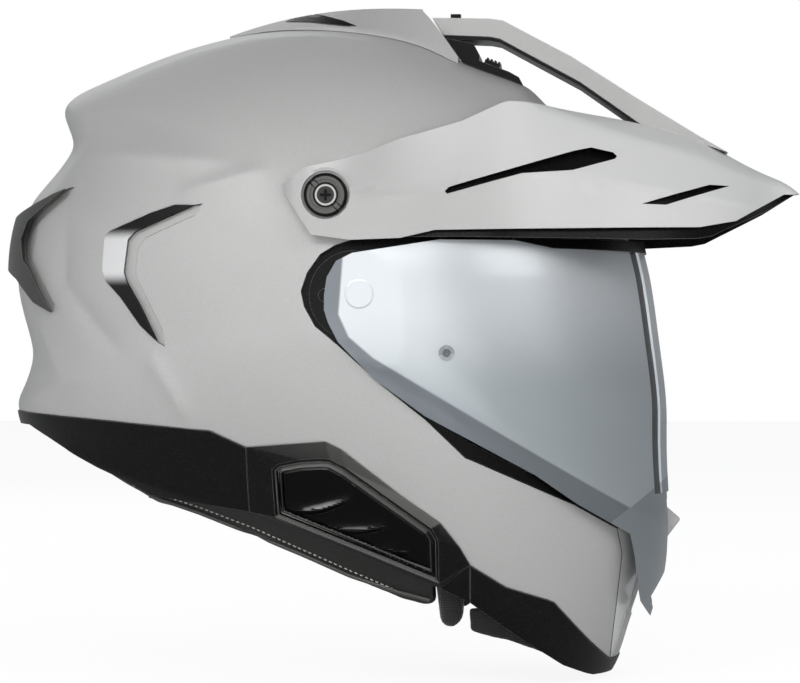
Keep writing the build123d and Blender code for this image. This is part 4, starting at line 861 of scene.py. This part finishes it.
piping_route = [(-82.4, -95.1), (-57.5, -103.2), (-33.1, -112.7), (-8.6, -122.7), (15.1, -133.1),
                (39.4, -141), (56.1, -144.9)]
piping_radius = 1.1
# The black piping is coloured a paler grey than the roll's leather: a painted highlight along the tube.
piping_leather, tree, shader = material("black_piping_leather", Base_Color=linear("#4A4947"),
                                        Roughness=0.35)
place = put(tree, "ShaderNodeTexCoord").outputs["Object"]
pebble = put(tree, "ShaderNodeTexNoise", {"Vector": place, "Scale": 1 / leather_cell, "Detail": 1.0})
bump = put(tree, "ShaderNodeBump", {"Height": pebble.outputs["Fac"], "Strength": 0.3,
                                    "Distance": 0.0001})
tree.links.new(bump.outputs["Normal"], shader.inputs["Normal"])
roll_hull = BVHTree.FromObject(roll, bpy.context.evaluated_depsgraph_get())
for side, hand in (("right", -1), ("left", 1)):
    curve = bpy.data.curves.new("piping_" + side, "CURVE")
    curve.dimensions = "3D"
    curve.bevel_depth = piping_radius / 1000
    curve.bevel_resolution = 3
    spots = []
    for start, stop in zip(piping_route, piping_route[1:]):
        for step in range(piping_steps):
            x, z = (start[k] + step / piping_steps * (stop[k] - start[k]) for k in (0, 1))
            found = beside(roll_hull, x, z, hand)
            if found:
                spots.append(found[0] + found[1] * piping_lift)
    spline = curve.splines.new("POLY")
    spline.points.add(len(spots) - 1)
    for point, spot in zip(spline.points, spots):
        point.co = (*spot, 1)
    curve_piece = bpy.data.objects.new("piping_" + side, curve)
    mesh = bpy.data.meshes.new_from_object(curve_piece)
    mesh.shade_smooth()
    mesh.materials.append(piping_leather)
    piping = bpy.data.objects.new("roll_piping_" + side, mesh)
    scene.collection.objects.link(piping)
    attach(piping, "helmet")

# Chin straps: woven nylon webbing riveted to the shell, the right one looped round two steel rings
# and the left one left loose.
strap_x = 38.0
strap_half = 11.0
strap_thick = 1.6
strap_route = [(104, -72), (101, -88), (82, -107), (69, -125), (50, -134.5), (31, -136.5),
               (12, -136.5)]
loop_place = (14, -136.5)
loop_radius = 5.1
weave_size = 0.0016
webbing = cloth("woven_nylon", "#121213", weave_size, 0.7, 0.2)


def strap_points(route, per=10):
    """Smooth points through a route in the cross plane."""
    points = []
    padded = [route[0]] + route + [route[-1]]
    for a, b, c, d in zip(padded, padded[1:], padded[2:], padded[3:]):
        for step in range(per):
            t = step / per
            points.append(tuple(0.5 * (2 * b[k] + (c[k] - a[k]) * t
                                       + (2 * a[k] - 5 * b[k] + 4 * c[k] - d[k]) * t * t
                                       + (3 * b[k] - a[k] - 3 * c[k] + d[k]) * t ** 3) for k in (0, 1)))
    return points + [route[-1]]


def ribbon(name, route, hand):
    """Flat webbing with rounded, slightly thicker edges along a route."""
    half = strap_thick / 2
    rise = [(0, 0), (0.5, half), (1.6, half), (2.2, half * 0.8)]
    section = [(x - strap_half, h) for x, h in rise] + [(strap_half - x, h) for x, h in reversed(rise)]
    section += [(x, -h) for x, h in reversed(section[1:-1])]
    mesh = bpy.data.meshes.new(name)
    verts, faces = [], []
    for i, (y, z) in enumerate(route):
        before, after = route[max(i - 1, 0)], route[min(i + 1, len(route) - 1)]
        along = Vector((after[0] - before[0], after[1] - before[1])).normalized()
        for x, h in section:
            verts.append(((strap_x + x) / 1000, hand * (y - along.y * h) / 1000,
                          (z + along.x * h) / 1000))
    count = len(section)
    for i in range(len(route) - 1):
        for j in range(count):
            k = (j + 1) % count
            faces.append((i * count + j, i * count + k, (i + 1) * count + k, (i + 1) * count + j))
    faces.append(tuple(range(count)))
    faces.append(tuple(reversed(range((len(route) - 1) * count, len(route) * count))))
    mesh.from_pydata(verts, [], faces)
    work = bmesh.new()
    work.from_mesh(mesh)
    bmesh.ops.recalc_face_normals(work, faces=work.faces)
    work.to_mesh(mesh)
    work.free()
    mesh.materials.append(webbing)
    piece = bpy.data.objects.new(name, mesh)
    scene.collection.objects.link(piece)
    smooth(piece, 50)
    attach(piece, "helmet")
    return piece


right_route = strap_points(strap_route[:-1])
ring_turn = [(loop_place[0] - loop_radius * math.sin(math.radians(a)),
              loop_place[1] - loop_radius * math.cos(math.radians(a))) for a in range(0, 331, 15)]
right_strap = ribbon("strap_webbing_right", right_route + [(20, -139.1)] + ring_turn, -1)
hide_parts("chin_strap_right")
left_strap = ribbon("strap_webbing_left", strap_points(strap_route), 1)
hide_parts("chin_strap_left")

# Stitches: pale waxed polyester thread along the lower edge of the neck roll, drawn a little coarse.
stitch_pitch = 2.7
stitch_length = 1.7
stitch_radius = 0.34
stitch_route = [(-90, -90.5), (-66, -98), (-56, -101), (-32, -110), (-8, -120.5), (16, -131),
                (40, -141), (50, -144)]
# Place along a stitch from -1 to 1, and its share of the thread's radius.
stitch_rings = ((-1, 0.35), (-0.8, 0.9), (0, 1.1), (0.8, 0.9), (1, 0.35))
ply_size = 0.0004
thread, tree, shader = material("waxed_polyester_thread", Base_Color=linear("#B9B9B4"), Roughness=0.6)
place = put(tree, "ShaderNodeTexCoord").outputs["Object"]
ply = put(tree, "ShaderNodeTexNoise", {"Vector": place, "Scale": 1 / ply_size, "Detail": 1.0})
bump = put(tree, "ShaderNodeBump", {"Height": ply.outputs["Fac"], "Strength": 0.5, "Distance": 0.0001})
tree.links.new(bump.outputs["Normal"], shader.inputs["Normal"])


def stitches(name, hand):
    """A row of short thread capsules laid on the roll's outer side."""
    spots = []
    walked = 0.0
    for start, stop in zip(stitch_route, stitch_route[1:]):
        run = math.hypot(stop[0] - start[0], stop[1] - start[1])
        while walked < run:
            share = walked / run
            walked += stitch_pitch
            x, z = (start[k] + share * (stop[k] - start[k]) for k in (0, 1))
            found = beside(roll_hull, x, z, hand)
            if found:
                spots.append((*found, Vector((stop[0] - start[0], 0, stop[1] - start[1])).normalized()))
        walked -= run
    work = bmesh.new()
    for hit, normal, along in spots:
        side = normal.cross(along).normalized()
        rings = []
        for end, thick in stitch_rings:
            bow = normal * stitch_radius * 0.6 * (1 - end * end) / 1000
            middle = hit + along * end * stitch_length / 2000 + bow
            rings.append([work.verts.new(middle + (side * math.cos(a) + normal * math.sin(a))
                                         * stitch_radius * thick / 1000)
                          for a in [math.radians(60 * k) for k in range(6)]])
        for near, far in zip(rings, rings[1:]):
            for k in range(6):
                work.faces.new((near[k], near[(k + 1) % 6], far[(k + 1) % 6], far[k]))
        work.faces.new(list(reversed(rings[0])))
        work.faces.new(rings[-1])
    mesh = bpy.data.meshes.new(name)
    bmesh.ops.recalc_face_normals(work, faces=work.faces)
    work.to_mesh(mesh)
    work.free()
    mesh.shade_smooth()
    mesh.materials.append(thread)
    row = bpy.data.objects.new(name, mesh)
    scene.collection.objects.link(row)
    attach(row, "helmet")


stitches("roll_stitches_right", -1)
stitches("roll_stitches_left", 1)
